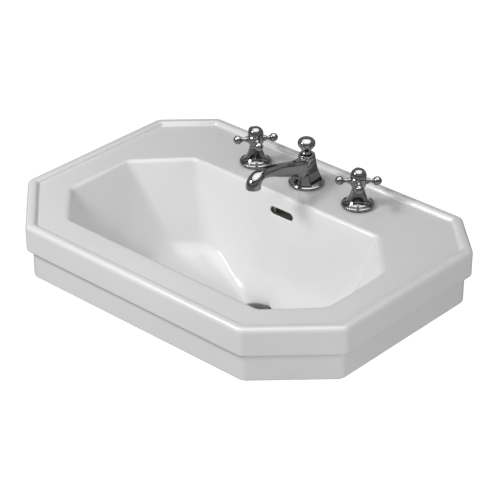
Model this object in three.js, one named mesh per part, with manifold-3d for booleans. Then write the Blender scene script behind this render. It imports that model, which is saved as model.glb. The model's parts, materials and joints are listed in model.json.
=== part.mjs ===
// Octagonal ceramic washbasin with a three-hole cross-handle mixer and a pop-up waste.
// Millimetres. +X right, +Y towards the wall, +Z up. The origin is on the basin's flat back
// face, midway between the two wall-fixing holes. Heights named "level" are measured from the
// top of the rim; heights inside a tap are measured from the tap deck.
import * as THREE from "three";
import { mergeVertices } from "three/addons/utils/BufferGeometryUtils.js";
import Module from "manifold-3d";

const wasm = await Module();
wasm.setup();

// ---- driving dimensions ------------------------------------------------------------------------------

const gap = 0.3; // clearance kept between touching pieces
const slip = 0.5; // clearance round pieces that slide or turn

const rim = {
  width: 700,
  depth: 500,
  frontCut: [115, 111],
  rearCut: [79, 76],
  bandHeight: 48,
  skirtHeight: 50.5,
  skirtInset: 10,
  edgeRadius: 8,
  lipWidth: 15,
  lipSlope: 4,
  deckDrop: 6,
  deckThickness: 14,
  wall: 13,
  fixingLevel: -65,
  fixingSpacing: 280,
  fixingRadius: 7,
};

const bowl = {
  sideMargin: 70,
  frontMargin: 73,
  rearMargin: 137.5,
  frontCut: [74, 75],
  rearCut: [78, 83],
  edgeWidth: 6,
  edgeDrop: 3,
  wallDrop: 139,
  sideFall: 90,
  frontFall: 53,
  rearFall: 12.5,
  lowFrontCut: [42, 45],
  lowRearCut: [30, 60],
  floorFall: 56,
  shell: 12,
};

const overflow = {
  width: 50,
  height: 14,
  level: -38.5,
  frontWall: 9,
  channel: 10,
  backWall: 8,
  sideWall: 8,
  chamberHeight: 9,
};

const drain = {
  setback: 64.5, // from the bowl's rear edge to the drain's axis
  flangeRadius: 31.5,
  flangeThickness: 2.5,
  cupRadius: 23.4,
  cupDepth: 8.3,
  cupWall: 1.6,
  throatRadius: 18.3,
  throatLength: 16,
  bodyRadius: 21,
  bodyBore: 18,
  bodyLength: 92,
  bossRadius: 43,
  bossHeight: 30,
  holeClearance: 1, // round the drain body in the basin's hole
  nutRadius: 32,
  nutHeight: 9,
};

const stopper = {
  capRadius: 22.8,
  lift: 5, // height of the cap's rim above the flange when open
  rimHeight: 2.2,
  domeHeight: 3.5,
  sealInner: 15,
  sealOuter: 21,
  stemRadius: 5,
};

const popup = {
  tilt: (8.5 * Math.PI) / 180, // the pivot rod's tilt each side of level
  pivotDrop: 62, // below the drain flange
  ballStandoff: 6, // from the drain body's wall out to the ball
  portRadius: 9,
  portLength: 17,
  ballRadius: 5.5,
  rodRadius: 2.4,
  rodTail: 12,
  liftRodRadius: 2.5,
  liftRodEnd: -152,
  strapTop: -128,
  strapThickness: 1.5,
  strapWidth: 12,
  strapOffset: 6,
  tabSpacing: 16,
  strapHole: 3.2,
  strapPitch: 14,
};

const taps = {
  spacing: 227, // between the two handles' axes
  setback: 77.5, // from the wall to the handles' axes
  holeClearance: 1.3, // round each valve body in the basin's hole
  hotTurn: 52,
  coldTurn: 41.5,
};

const valve = {
  topHeight: 6,
  bodyRadius: 13.2,
  chamberStep: 1.8, // how far the valve chamber stands out from the body
  chamberTop: -36,
  chamberBottom: -54,
  outletHeight: -45,
  portRadius: 7,
  portReach: 26,
  portBore: 4.5,
  inletRadius: 10.4,
  inletBore: 5.5,
  inletEnd: -92,
  cartridgeRadius: 10,
  cartridgeEnd: -40,
  hexRadius: 12.5,
  hexHeight: 5,
  bushRadius: 6.8,
  bushTop: 28,
  spindleRadius: 4,
  spindleTop: 49,
};

const escutcheon = {
  radius: 28,
  grooveRadius: 22.5,
  stemRadius: 10.2,
  height: 32.5,
  sealThickness: 1.6,
};

const handle = {
  hubRadius: 13.8,
  neckRadius: 10.6,
  hubTop: 54,
  armHeight: 46.5,
  ballReach: 31,
  ballRadius: 7.5,
  armRadius: 3.4,
  armNeck: 2.4,
  capHeight: 14.2,
  capPlugRadius: 9.2,
  capPlugDepth: 3.5,
  screwHeadRadius: 4.5,
  screwHeadHeight: 3,
  screwRadius: 2,
  screwLength: 12,
};

const washers = {
  rubberThickness: 3,
  steelThickness: 1.6,
  nutHeight: 9,
  radius: 24,
};

const spout = {
  setback: 75.5, // from the wall to the column's axis
  footRadius: 31,
  collarRadius: 13.7,
  height: 56.5,
  recessRadius: 9.5,
  recessDepth: 6,
  armWidth: 17,
  reach: 133.5,
  nozzleRadius: 13,
  nozzleEnd: 43.5,
  bore: 7,
  holeRadius: 17.5,
  holeOffset: -7, // from the column's axis to the hole's
  shankRadius: 7.5,
  shankBore: 5,
  shankOffset: -15,
  shankTop: 14,
  shankEnd: -70,
  rodOffset: -1.5,
  nutFlat: 10,
  teeRadius: 9.8,
  teeTop: -58,
  teeEnd: -80,
  teePort: -71,
  teeReach: 28,
};

const knob = {
  neckRadius: 7.3,
  waistRadius: 8,
  radius: 15,
  bottom: 52,
  waistHeight: 62.5,
  middle: 76,
  top: 87,
};

const hose = {
  radius: 5,
  nutRadius: 10,
  nutLength: 13,
  nutOverlap: 7,
};

const sides = { large: 24, medium: 16, small: 12, tiny: 8 };

// ---- levels and places worked out from them ----------------------------------------------------------

const rimLevel = -rim.fixingLevel;
const deckLevel = -rim.deckDrop;
const bandLevel = -rim.bandHeight;
const skirtLevel = bandLevel - rim.skirtHeight;
const openingLevel = deckLevel - bowl.edgeDrop;
const wallFootLevel = openingLevel - bowl.wallDrop;
const floorLevel = wallFootLevel - bowl.floorFall;
const drainY = -(bowl.rearMargin + drain.setback);
const pivotLevel = floorLevel - popup.pivotDrop;
const pivotReach = drain.bodyRadius + popup.ballStandoff;
const pivotY = drainY + pivotReach;
const tapY = -taps.setback;
const spoutY = -spout.setback;
const liftRodY = spoutY + spout.rodOffset;
const strapY = liftRodY + popup.strapOffset;
const strapReach = strapY + popup.strapThickness / 2 - pivotY;
const strapHoleLevel = pivotLevel - strapReach * Math.tan(popup.tilt);
const sealTop = gap + escutcheon.sealThickness;
const tapHoleRadius = valve.bodyRadius + taps.holeClearance;
const drainHoleRadius = drain.bodyRadius + drain.holeClearance;

// ---- finishes ----------------------------------------------------------------------------------------

const finishes = {
  ceramic: { color: 0xf1f1ef, roughness: 0.12, metalness: 0 },
  chrome: { color: 0xc8cacc, roughness: 0.08, metalness: 1 },
  brass: { color: 0xb08d4c, roughness: 0.35, metalness: 1 },
  steel: { color: 0x9b9da0, roughness: 0.4, metalness: 1 },
  rubber: { color: 0x1c1c1d, roughness: 0.8, metalness: 0 },
  plastic: { color: 0xd9d9d4, roughness: 0.5, metalness: 0 },
  braid: { color: 0x8f9296, roughness: 0.45, metalness: 0.9 },
};

function named(name, geometry, finish) {
  const mesh = new THREE.Mesh(geometry, new THREE.MeshStandardMaterial(finishes[finish]));
  mesh.name = name;
  return mesh;
}

// ---- solid helpers -----------------------------------------------------------------------------------

function solidOf(geometry) {
  const bare = geometry.clone();
  bare.deleteAttribute("normal");
  bare.deleteAttribute("uv");
  const merged = mergeVertices(bare, 1e-4);
  const mesh = new wasm.Mesh({
    numProp: 3,
    vertProperties: new Float32Array(merged.attributes.position.array),
    triVerts: new Uint32Array(merged.index.array),
  });
  return new wasm.Manifold(mesh);
}

function geometryOf(solid) {
  const mesh = solid.getMesh();
  const geometry = new THREE.BufferGeometry();
  geometry.setAttribute("position", new THREE.BufferAttribute(mesh.vertProperties, 3));
  geometry.setIndex(new THREE.BufferAttribute(mesh.triVerts, 1));
  geometry.computeVertexNormals();
  return geometry;
}

function join(...pieces) {
  return geometryOf(pieces.map(solidOf).reduce((whole, piece) => whole.add(piece)));
}

function cut(body, ...tools) {
  return geometryOf(tools.map(solidOf).reduce((left, tool) => left.subtract(tool), solidOf(body)));
}

function moved(geometry, x, y, z) {
  return geometry.clone().translate(x, y, z);
}

// Turned piece about +Z from [radius, height] pairs, listed from the bottom up the outside.
function turned(profile, count = sides.medium) {
  const points = profile.map(([radius, height]) => new THREE.Vector2(radius, height));
  return new THREE.LatheGeometry(points, count).rotateX(Math.PI / 2);
}

function ring(inner, outer, low, high, count = sides.medium) {
  return turned([[inner, low], [outer, low], [outer, high], [inner, high], [inner, low]], count);
}

function rod(radius, low, high, count = sides.medium) {
  return new THREE.CylinderGeometry(radius, radius, high - low, count)
    .rotateX(Math.PI / 2)
    .translate(0, 0, (low + high) / 2);
}

// Hexagonal bar with two flats facing +Y and -Y.
function hexagon(flat, low, high) {
  const corner = flat / Math.cos(Math.PI / 6);
  return rod(corner, low, high, 6).rotateZ(Math.PI / 6);
}

function alongX(geometry) {
  return geometry.rotateY(Math.PI / 2);
}

function alongY(geometry) {
  return geometry.rotateX(-Math.PI / 2);
}

function block(x, y, z, width, depth, height) {
  return new THREE.BoxGeometry(width, depth, height).translate(x, y, z);
}

function prism(outline, low, high) {
  const shape = new THREE.Shape(outline.map(([x, y]) => new THREE.Vector2(x, y)));
  return new THREE.ExtrudeGeometry(shape, { depth: high - low, bevelEnabled: false })
    .translate(0, 0, low);
}

// Side outline of [y, z] pairs, given a width across X.
function sidePlate(outline, width) {
  return prism(outline, -width / 2, width / 2)
    .applyMatrix4(new THREE.Matrix4().makeBasis(
      new THREE.Vector3(0, 1, 0),
      new THREE.Vector3(0, 0, 1),
      new THREE.Vector3(1, 0, 0),
    ));
}

// Closed skin over rings of equally many points, from the lowest ring to the highest.
function loft(rings) {
  const count = rings[0].length;
  const corners = rings.flat();
  const faces = [];
  const link = (a, b, c) => faces.push(a, b, c);
  for (let level = 0; level + 1 < rings.length; level += 1) {
    for (let i = 0; i < count; i += 1) {
      const next = (i + 1) % count;
      const low = level * count;
      const high = low + count;
      link(low + i, low + next, high + next);
      link(low + i, high + next, high + i);
    }
  }
  const top = (rings.length - 1) * count;
  for (let i = 1; i + 1 < count; i += 1) {
    link(0, i + 1, i);
    link(top, top + i, top + i + 1);
  }
  const geometry = new THREE.BufferGeometry();
  geometry.setAttribute("position", new THREE.Float32BufferAttribute(corners.flat(), 3));
  geometry.setIndex(faces);
  return geometry;
}

function atLevel(outline, level) {
  return outline.map(([x, y]) => [x, y, level]);
}

// ---- octagonal outlines ------------------------------------------------------------------------------

// Corners run anticlockwise from the front of the right side.
function octagon(halfWidth, front, back, frontCut, rearCut) {
  return [
    [halfWidth, front + frontCut[1]],
    [halfWidth, back - rearCut[1]],
    [halfWidth - rearCut[0], back],
    [-halfWidth + rearCut[0], back],
    [-halfWidth, back - rearCut[1]],
    [-halfWidth, front + frontCut[1]],
    [-halfWidth + frontCut[0], front],
    [halfWidth - frontCut[0], front],
  ];
}

// Moves every side inwards, and the back side by its own amount.
function inset(outline, amount, backAmount = amount) {
  const backSide = 2;
  const lines = outline.map((start, side) => {
    const end = outline[(side + 1) % outline.length];
    const length = Math.hypot(end[0] - start[0], end[1] - start[1]);
    const normal = [(end[1] - start[1]) / length, -(end[0] - start[0]) / length];
    const shift = side === backSide ? backAmount : amount;
    return [normal[0], normal[1], normal[0] * start[0] + normal[1] * start[1] - shift];
  });
  return lines.map((line, side) => {
    const before = lines[(side + lines.length - 1) % lines.length];
    const scale = before[0] * line[1] - before[1] * line[0];
    return [
      (before[2] * line[1] - before[1] * line[2]) / scale,
      (before[0] * line[2] - before[2] * line[0]) / scale,
    ];
  });
}

function between(a, b, share) {
  return a + (b - a) * share;
}

// Three points along each side, so that every bowl ring has equally many.
function splitSides(outline) {
  const parts = 3;
  return outline.flatMap((start, side) => {
    const end = outline[(side + 1) % outline.length];
    return Array.from({ length: parts }, (_, step) => [
      between(start[0], end[0], step / parts),
      between(start[1], end[1], step / parts),
    ]);
  });
}

const rimOutline = octagon(rim.width / 2, -rim.depth, 0, rim.frontCut, rim.rearCut);
const skirtOutline = inset(rimOutline, rim.skirtInset, 0);

// The bowl's outline at a share of the way down its walls.
function bowlOutline(share) {
  const cutAt = (high, low) => [between(high[0], low[0], share), between(high[1], low[1], share)];
  return octagon(
    rim.width / 2 - bowl.sideMargin - bowl.sideFall * share,
    -rim.depth + bowl.frontMargin + bowl.frontFall * share,
    -bowl.rearMargin - bowl.rearFall * share,
    cutAt(bowl.frontCut, bowl.lowFrontCut),
    cutAt(bowl.rearCut, bowl.lowRearCut),
  );
}

function rearWallY(level) {
  return -bowl.rearMargin - (bowl.rearFall * (openingLevel - level)) / bowl.wallDrop;
}

// ---- basin -------------------------------------------------------------------------------------------

function rimBlock() {
  const steps = 3;
  const rings = [atLevel(inset(rimOutline, 1.5, 0), bandLevel), atLevel(rimOutline, bandLevel + 3)];
  for (let step = 0; step <= steps; step += 1) {
    const turn = (step / steps) * (Math.PI / 2);
    const inward = rim.edgeRadius * (1 - Math.cos(turn));
    const level = -rim.edgeRadius * (1 - Math.sin(turn));
    rings.push(atLevel(inset(rimOutline, inward), level));
  }
  return loft(rings);
}

function deckRecess() {
  const above = 2;
  return loft([
    atLevel(inset(rimOutline, rim.lipWidth + rim.lipSlope), deckLevel),
    atLevel(inset(rimOutline, rim.lipWidth), 0),
    atLevel(inset(rimOutline, rim.lipWidth), above),
  ]);
}

// Rings of the bowl from the drain up: thick is zero for the inside, the shell for the outside.
function bowlRings(thick) {
  const foot = splitSides(inset(bowlOutline(1), -thick));
  const drainRing = foot.map(([x, y]) => {
    const turn = Math.atan2(y - drainY, x);
    const radius = drain.flangeRadius + 2 + thick;
    return [Math.cos(turn) * radius, drainY + Math.sin(turn) * radius];
  });
  const rings = [];
  for (const share of [1, 0.5, 0]) {
    const outline = foot.map((point, i) => [
      between(point[0], drainRing[i][0], share),
      between(point[1], drainRing[i][1], share),
    ]);
    rings.push(atLevel(outline, wallFootLevel - bowl.floorFall * share - thick * 0.8));
  }
  for (const share of [0.5, 0]) {
    const outline = splitSides(inset(bowlOutline(share), -thick));
    rings.push(atLevel(outline, openingLevel - bowl.wallDrop * share));
  }
  return rings;
}

function bowlHollow() {
  const eased = 1 - Math.SQRT1_2;
  const above = 2;
  const edge = [
    [bowl.edgeWidth * eased, deckLevel - bowl.edgeDrop * eased],
    [bowl.edgeWidth, deckLevel],
    [bowl.edgeWidth, above],
  ];
  const rings = edge.map(([outset, level]) => atLevel(splitSides(inset(bowlOutline(0), -outset)), level));
  return loft([...bowlRings(0), ...rings]);
}

function bowlShell() {
  const top = atLevel(splitSides(inset(bowlOutline(0), -bowl.shell)), deckLevel - 2);
  return loft([...bowlRings(bowl.shell), top]);
}

// Overflow duct behind the bowl, from below the deck to the drain's boss.
function ductOutline(front, back, top, bottom, inner) {
  const foot = wallFootLevel;
  const bossBack = drainY + drain.flangeRadius + 2;
  return [
    [rearWallY(top) + front, top],
    [inner, foot],
    [inner, bottom],
    [bossBack + back, bottom],
    [bossBack + back, floorLevel - drain.flangeThickness],
    [rearWallY(foot) + back, foot],
    [rearWallY(top) + back, top],
  ];
}

function ductBody() {
  const back = overflow.frontWall + overflow.channel + overflow.backWall;
  const bottom = floorLevel - drain.bossHeight;
  return sidePlate(
    ductOutline(2, back, -rim.deckThickness, bottom, drainY),
    overflow.width + 2 * (overflow.sideWall + 2),
  );
}

function ductHollow() {
  const front = overflow.frontWall;
  const back = front + overflow.channel;
  const top = overflow.level + overflow.height / 2 + 3;
  const foot = wallFootLevel;
  const bossBack = drainY + drain.flangeRadius + 2;
  const chamberTop = floorLevel - drain.cupDepth - 5;
  const chamberBottom = chamberTop - overflow.chamberHeight;
  return sidePlate([
    [rearWallY(top) + front, top],
    [rearWallY(foot) + front, foot],
    [bossBack + front, floorLevel - 2],
    [bossBack + front, chamberTop],
    [drainY + drainHoleRadius - 6, chamberTop],
    [drainY + drainHoleRadius - 6, chamberBottom],
    [bossBack + back, chamberBottom],
    [bossBack + back, floorLevel - 2],
    [rearWallY(foot) + back, foot],
    [rearWallY(top) + back, top],
  ], overflow.width + 4);
}

function overflowSlot() {
  const radius = overflow.height / 2;
  const reach = overflow.width / 2 - radius;
  const shape = new THREE.Shape();
  shape.absarc(reach, 0, radius, -Math.PI / 2, Math.PI / 2);
  shape.absarc(-reach, 0, radius, Math.PI / 2, (3 * Math.PI) / 2);
  const depth = overflow.frontWall + overflow.channel / 2 + 8;
  const bar = new THREE.ExtrudeGeometry(shape, { depth, bevelEnabled: false, curveSegments: 6 });
  return bar.rotateX(Math.PI / 2)
    .translate(0, rearWallY(overflow.level) - 8 + depth, overflow.level);
}

function basin() {
  const cavityOutline = inset(skirtOutline, rim.wall);
  const below = 2;
  const drainHole = moved(
    rod(drainHoleRadius, -drain.bossHeight - below, 0, sides.large), 0, drainY, floorLevel,
  );
  const drainCup = moved(
    rod(drain.cupRadius + drain.cupWall + slip, -drain.cupDepth - drain.cupWall - gap, 0, sides.large),
    0, drainY, floorLevel,
  );
  const flangeSeat = moved(
    rod(drain.flangeRadius + slip, -drain.flangeThickness - gap, bowl.shell, sides.large),
    0, drainY, floorLevel,
  );
  const boss = moved(rod(drain.bossRadius, -drain.bossHeight, 0), 0, drainY, floorLevel);
  const hollowed = cut(
    join(rimBlock(), prism(skirtOutline, skirtLevel, bandLevel + 10)),
    prism(cavityOutline, skirtLevel - below, deckLevel - rim.deckThickness),
    deckRecess(),
  );
  const tapHole = (x, y, radius) => moved(
    rod(radius, -rim.deckThickness - below, below), x, y, deckLevel,
  );
  const fixingHole = (x) => moved(
    alongY(rod(rim.fixingRadius, -rim.wall - below, below, sides.small)), x, 0, rim.fixingLevel,
  );
  return cut(
    join(hollowed, bowlShell(), boss, ductBody()),
    bowlHollow(),
    ductHollow(),
    overflowSlot(),
    drainHole,
    drainCup,
    flangeSeat,
    tapHole(-taps.spacing / 2, tapY, tapHoleRadius),
    tapHole(taps.spacing / 2, tapY, tapHoleRadius),
    tapHole(0, spoutY + spout.holeOffset, spout.holeRadius),
    fixingHole(-rim.fixingSpacing / 2),
    fixingHole(rim.fixingSpacing / 2),
  );
}

// ---- side valves: heights are measured from the tap deck ---------------------------------------------

function deckSeal() {
  return ring(tapHoleRadius + 2, escutcheon.radius - 1.5, gap, sealTop);
}

function escutcheonShell() {
  const { radius, grooveRadius, stemRadius, height } = escutcheon;
  const low = sealTop + gap;
  const inside = valve.bushRadius + slip + 1;
  const hexSpace = valve.hexRadius / Math.cos(Math.PI / 6) + slip;
  const hexTop = valve.topHeight + gap + valve.hexHeight + 2;
  return turned([
    [valve.bodyRadius + gap, low],
    [radius - 1, low],
    [radius, low + 1.6],
    [radius - 0.6, low + 3.4],
    [radius - 2.4, low + 4.4],
    [grooveRadius, low + 3.6],
    [grooveRadius - 2, low + 6],
    [19, low + 8],
    [hexSpace + 1.6, hexTop + 1.5],
    [13.2, 21.5],
    [stemRadius + 0.9, 27.5],
    [stemRadius, height],
    [inside, height],
    [inside, 24],
    [hexSpace, hexTop],
    [hexSpace, valve.topHeight],
    [valve.bodyRadius + gap, valve.topHeight],
    [valve.bodyRadius + gap, low],
  ], sides.large);
}

function valveBody(inward) {
  const { bodyRadius, chamberTop, chamberBottom, inletRadius, inletBore } = valve;
  const chamberRadius = bodyRadius + valve.chamberStep;
  const bore = valve.cartridgeRadius + gap;
  const shell = turned([
    [inletBore, valve.inletEnd],
    [inletRadius, valve.inletEnd],
    [inletRadius, chamberBottom - 6],
    [chamberRadius, chamberBottom],
    [chamberRadius, chamberTop],
    [bodyRadius, chamberTop],
    [bodyRadius, valve.topHeight],
    [bore, valve.topHeight],
    [bore, valve.outletHeight - valve.portBore - 1],
    [inletBore, valve.outletHeight - valve.portBore - 1],
    [inletBore, valve.inletEnd],
  ]);
  const start = bore + 1;
  const port = moved(
    alongX(rod(valve.portRadius, start, valve.portReach, sides.small)), 0, 0, valve.outletHeight,
  );
  const way = moved(
    alongX(rod(valve.portBore, bore - 2, valve.portReach + 1, sides.tiny)), 0, 0, valve.outletHeight,
  );
  const body = cut(join(shell, port), way);
  return inward < 0 ? body.rotateZ(Math.PI) : body;
}

function cartridge() {
  const hexLow = valve.topHeight + gap;
  const bore = valve.spindleRadius + gap;
  const flange = turned([
    [bore, valve.cartridgeEnd],
    [valve.cartridgeRadius, valve.cartridgeEnd],
    [valve.cartridgeRadius, hexLow],
    [valve.bushRadius, hexLow],
    [valve.bushRadius, valve.bushTop],
    [bore, valve.bushTop],
    [bore, valve.cartridgeEnd],
  ], sides.small);
  const hex = cut(
    hexagon(valve.hexRadius - 1, hexLow, hexLow + valve.hexHeight),
    rod(bore, 0, hexLow + valve.hexHeight + 1, sides.small),
  );
  return join(flange, hex);
}

function spindle() {
  const bore = handle.screwRadius + gap;
  const low = valve.cartridgeEnd + 8;
  const screwFoot = valve.spindleTop - handle.screwLength - 2;
  return turned([
    [0, low],
    [valve.spindleRadius, low],
    [valve.spindleRadius, valve.spindleTop],
    [bore, valve.spindleTop],
    [bore, screwFoot],
    [0, screwFoot],
  ], sides.tiny);
}

function handleArm() {
  const { ballReach, ballRadius, armRadius, armNeck, hubRadius } = handle;
  const profile = [
    [0, hubRadius - 4],
    [armRadius + 0.8, hubRadius - 4],
    [armRadius + 0.8, hubRadius + 0.6],
    [armRadius, hubRadius + 2.6],
    [armNeck, ballReach - ballRadius - 1.4],
  ];
  const first = Math.asin(armNeck / ballRadius);
  const steps = 5;
  for (let step = 0; step < steps; step += 1) {
    const turn = between(Math.PI - first, 0, step / steps);
    profile.push([Math.sin(turn) * ballRadius, ballReach + Math.cos(turn) * ballRadius]);
  }
  profile.push([0, ballReach + ballRadius]);
  return turned(profile, sides.tiny).rotateY(Math.PI / 2);
}

function crossHandle() {
  const { hubRadius, neckRadius, hubTop, armHeight } = handle;
  const low = escutcheon.height + slip;
  const bore = valve.spindleRadius + gap;
  const skirt = valve.bushRadius + slip + 0.6;
  const hub = turned([
    [skirt, low],
    [neckRadius, low],
    [neckRadius + 0.4, low + 2],
    [hubRadius - 0.8, low + 5.5],
    [hubRadius, low + 8],
    [hubRadius, hubTop - 1.4],
    [hubRadius - 1, hubTop],
    [bore, hubTop],
    [bore, low + 3],
    [skirt, low + 3],
    [skirt, low],
  ], sides.medium);
  const arms = [0, 1, 2, 3].map((turn) =>
    handleArm().rotateZ((turn * Math.PI) / 2).translate(0, 0, armHeight));
  const pocket = rod(handle.capPlugRadius + gap, valve.spindleTop + gap, hubTop + 1, sides.medium);
  return cut(join(hub, ...arms), pocket);
}

function handleScrew() {
  const low = valve.spindleTop + gap;
  return turned([
    [0, low - handle.screwLength],
    [handle.screwRadius, low - handle.screwLength],
    [handle.screwRadius, low],
    [handle.screwHeadRadius, low],
    [handle.screwHeadRadius, low + handle.screwHeadHeight - 1],
    [handle.screwHeadRadius - 1, low + handle.screwHeadHeight],
    [0, low + handle.screwHeadHeight],
  ], sides.tiny);
}

function domeCap() {
  const low = handle.hubTop + gap;
  const radius = handle.hubRadius - 0.2;
  const profile = [
    [handle.screwHeadRadius + 1.5, handle.hubTop - handle.capPlugDepth],
    [handle.capPlugRadius, handle.hubTop - handle.capPlugDepth],
    [handle.capPlugRadius, low],
    [radius - 0.6, low],
    [radius, low + 0.8],
  ];
  const steps = 5;
  for (let step = 1; step < steps; step += 1) {
    const turn = (step / steps) * (Math.PI / 2);
    const height = low + 0.8 + Math.sin(turn) * (handle.capHeight - 0.8);
    profile.push([radius * Math.cos(turn) ** 0.75, height]);
  }
  profile.push([0, low + handle.capHeight]);
  profile.push([0, low + 1]);
  profile.push([handle.screwHeadRadius + 1.5, low + 1]);
  profile.push([handle.screwHeadRadius + 1.5, handle.hubTop - handle.capPlugDepth]);
  return turned(profile, sides.medium);
}

const washerTop = -rim.deckThickness - gap;
const steelTop = washerTop - washers.rubberThickness - gap;
const nutTop = steelTop - washers.steelThickness - gap;

function addValve(name, side, turn) {
  const group = new THREE.Group();
  group.position.set((side * taps.spacing) / 2, tapY, deckLevel);
  const threadHole = valve.bodyRadius + gap;
  const lockNut = cut(
    hexagon(valve.bodyRadius + 5, nutTop - washers.nutHeight, nutTop),
    rod(threadHole, nutTop - washers.nutHeight - 1, nutTop + 1),
  );
  const turning = new THREE.Group();
  turning.rotation.z = THREE.MathUtils.degToRad(turn);
  turning.add(
    named(`${name}_spindle`, spindle(), "brass"),
    named(`${name}_cross_handle`, crossHandle(), "chrome"),
    named(`${name}_handle_screw`, handleScrew(), "steel"),
    named(`${name}_dome_cap`, domeCap(), "chrome"),
  );
  group.add(
    named(`${name}_valve_body`, valveBody(-side), "brass"),
    named(`${name}_cartridge`, cartridge(), "brass"),
    named(`${name}_escutcheon`, escutcheonShell(), "chrome"),
    named(`${name}_deck_seal`, deckSeal(), "rubber"),
    named(`${name}_rubber_washer`,
      ring(threadHole, washers.radius, washerTop - washers.rubberThickness, washerTop), "rubber"),
    named(`${name}_steel_washer`,
      ring(threadHole, washers.radius - 2, steelTop - washers.steelThickness, steelTop), "steel"),
    named(`${name}_lock_nut`, lockNut, "brass"),
    turning,
  );
  return group;
}

// ---- spout: heights from the deck, and y from the spout's own axis -----------------------------------

const gasketTop = gap + 1.2;
const spoutFoot = gasketTop + gap;

function spoutColumn() {
  const { footRadius, collarRadius, height } = spout;
  return turned([
    [0, spoutFoot],
    [footRadius - 0.8, spoutFoot],
    [footRadius, spoutFoot + 1.4],
    [footRadius - 0.6, spoutFoot + 3.6],
    [28, 9],
    [25.6, 13],
    [22, 20],
    [19, 27],
    [16.8, 36],
    [15, 47],
    [collarRadius + 0.2, height - 3.5],
    [collarRadius, height],
    [0, height],
  ], sides.large);
}

// Side outline of the arm: from the column out along the top, round the nozzle's bend and back.
function spoutArm() {
  const tip = -spout.reach;
  const nozzleFront = tip - spout.nozzleRadius;
  const nozzleBack = tip + spout.nozzleRadius;
  const outline = new THREE.Shape();
  outline.moveTo(0, 54);
  outline.lineTo(-13, 55);
  outline.bezierCurveTo(-20, 51.5, -32, 52.5, -45, 56.5);
  outline.bezierCurveTo(-60, 60.5, -82, 66, tip + 35, 68.5);
  outline.bezierCurveTo(tip + 15, 72, nozzleFront + 4, 70.5, nozzleFront, spout.nozzleEnd + 8);
  outline.lineTo(nozzleFront + 1, spout.nozzleEnd + 1);
  outline.lineTo(nozzleBack - 1, spout.nozzleEnd + 1);
  outline.bezierCurveTo(nozzleBack + 1, 51, nozzleBack + 5, 55.5, tip + 28, 54);
  outline.bezierCurveTo(tip + 44, 49, -70, 40.5, -55, 35.5);
  outline.bezierCurveTo(-42, 31, -27, 26, -23, 18);
  outline.lineTo(-20, 8);
  outline.lineTo(0, 8);
  const points = outline.getPoints(5).map((point) => [point.x, point.y]);
  return sidePlate(points, spout.armWidth);
}

function spoutBody() {
  const { nozzleRadius, nozzleEnd, recessRadius, recessDepth, height, reach, bore } = spout;
  const bend = moved(new THREE.SphereGeometry(nozzleRadius, sides.small, 8), 0, -reach, nozzleEnd + 12.5);
  const nozzle = moved(rod(nozzleRadius, nozzleEnd, nozzleEnd + 12, sides.medium), 0, -reach, 0);
  const recess = rod(recessRadius, height - recessDepth, height + 1, sides.medium);
  const guide = rod(popup.liftRodRadius + 1.7, -1, height, sides.small);
  const shankSocket = rod(spout.shankRadius + gap, 0, spout.shankTop + gap, sides.small);
  const aeratorSocket = rod(nozzleRadius - 1.6, nozzleEnd - 1, nozzleEnd + 9, sides.medium);
  const waterway = new THREE.CatmullRomCurve3([
    new THREE.Vector3(0, spout.shankOffset, spout.shankTop - 1),
    new THREE.Vector3(0, spout.shankOffset - 2, 32),
    new THREE.Vector3(0, spout.shankOffset - 20, 44),
    new THREE.Vector3(0, -80, 54.5),
    new THREE.Vector3(0, -reach + 23, 62),
    new THREE.Vector3(0, -reach + 3, 59),
    new THREE.Vector3(0, -reach, nozzleEnd + 6),
  ]);
  const section = new THREE.Shape().absarc(0, 0, bore / 2, 0, 2 * Math.PI);
  const water = new THREE.ExtrudeGeometry(section, { steps: 14, extrudePath: waterway, curveSegments: 4 });
  return cut(
    join(spoutColumn(), spoutArm(), bend, nozzle),
    moved(recess, 0, spout.rodOffset, 0),
    moved(guide, 0, spout.rodOffset, 0),
    moved(shankSocket, 0, spout.shankOffset, 0),
    moved(aeratorSocket, 0, -reach, 0),
    water,
  );
}

function keyholeWasher(radius, low, high) {
  const slot = block(0, (spout.shankOffset + spout.rodOffset) / 2, (low + high) / 2,
    2 * (popup.liftRodRadius + 1), spout.rodOffset - spout.shankOffset, high - low + 2);
  return cut(
    moved(rod(radius, low, high), 0, spout.holeOffset, 0),
    moved(rod(spout.shankRadius + gap, low - 1, high + 1, sides.small), 0, spout.shankOffset, 0),
    moved(rod(popup.liftRodRadius + 1, low - 1, high + 1, sides.tiny), 0, spout.rodOffset, 0),
    slot,
  );
}

function spoutShank() {
  return ring(spout.shankBore, spout.shankRadius, spout.shankEnd, spout.shankTop, sides.small);
}

function spoutTee() {
  const { teeRadius, teeTop, teeEnd, teePort, teeReach } = spout;
  const sleeve = rod(teeRadius, teeEnd, teeTop);
  const port = moved(alongX(rod(valve.portRadius, -teeReach, teeReach, sides.small)), 0, 0, teePort);
  const way = moved(alongX(rod(valve.portBore, -teeReach - 1, teeReach + 1, sides.tiny)), 0, 0, teePort);
  const bore = rod(spout.shankRadius + gap, spout.shankEnd - gap, teeTop + 1, sides.small);
  return cut(join(sleeve, port), way, bore);
}

function aerator() {
  const radius = spout.nozzleRadius - 1.6 - gap;
  const low = spout.nozzleEnd + 0.8;
  return turned([
    [0, low + 1.4],
    [radius - 1.8, low + 1.4],
    [radius - 1.8, low],
    [radius, low],
    [radius, low + 7],
    [0, low + 7],
  ]);
}

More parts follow.
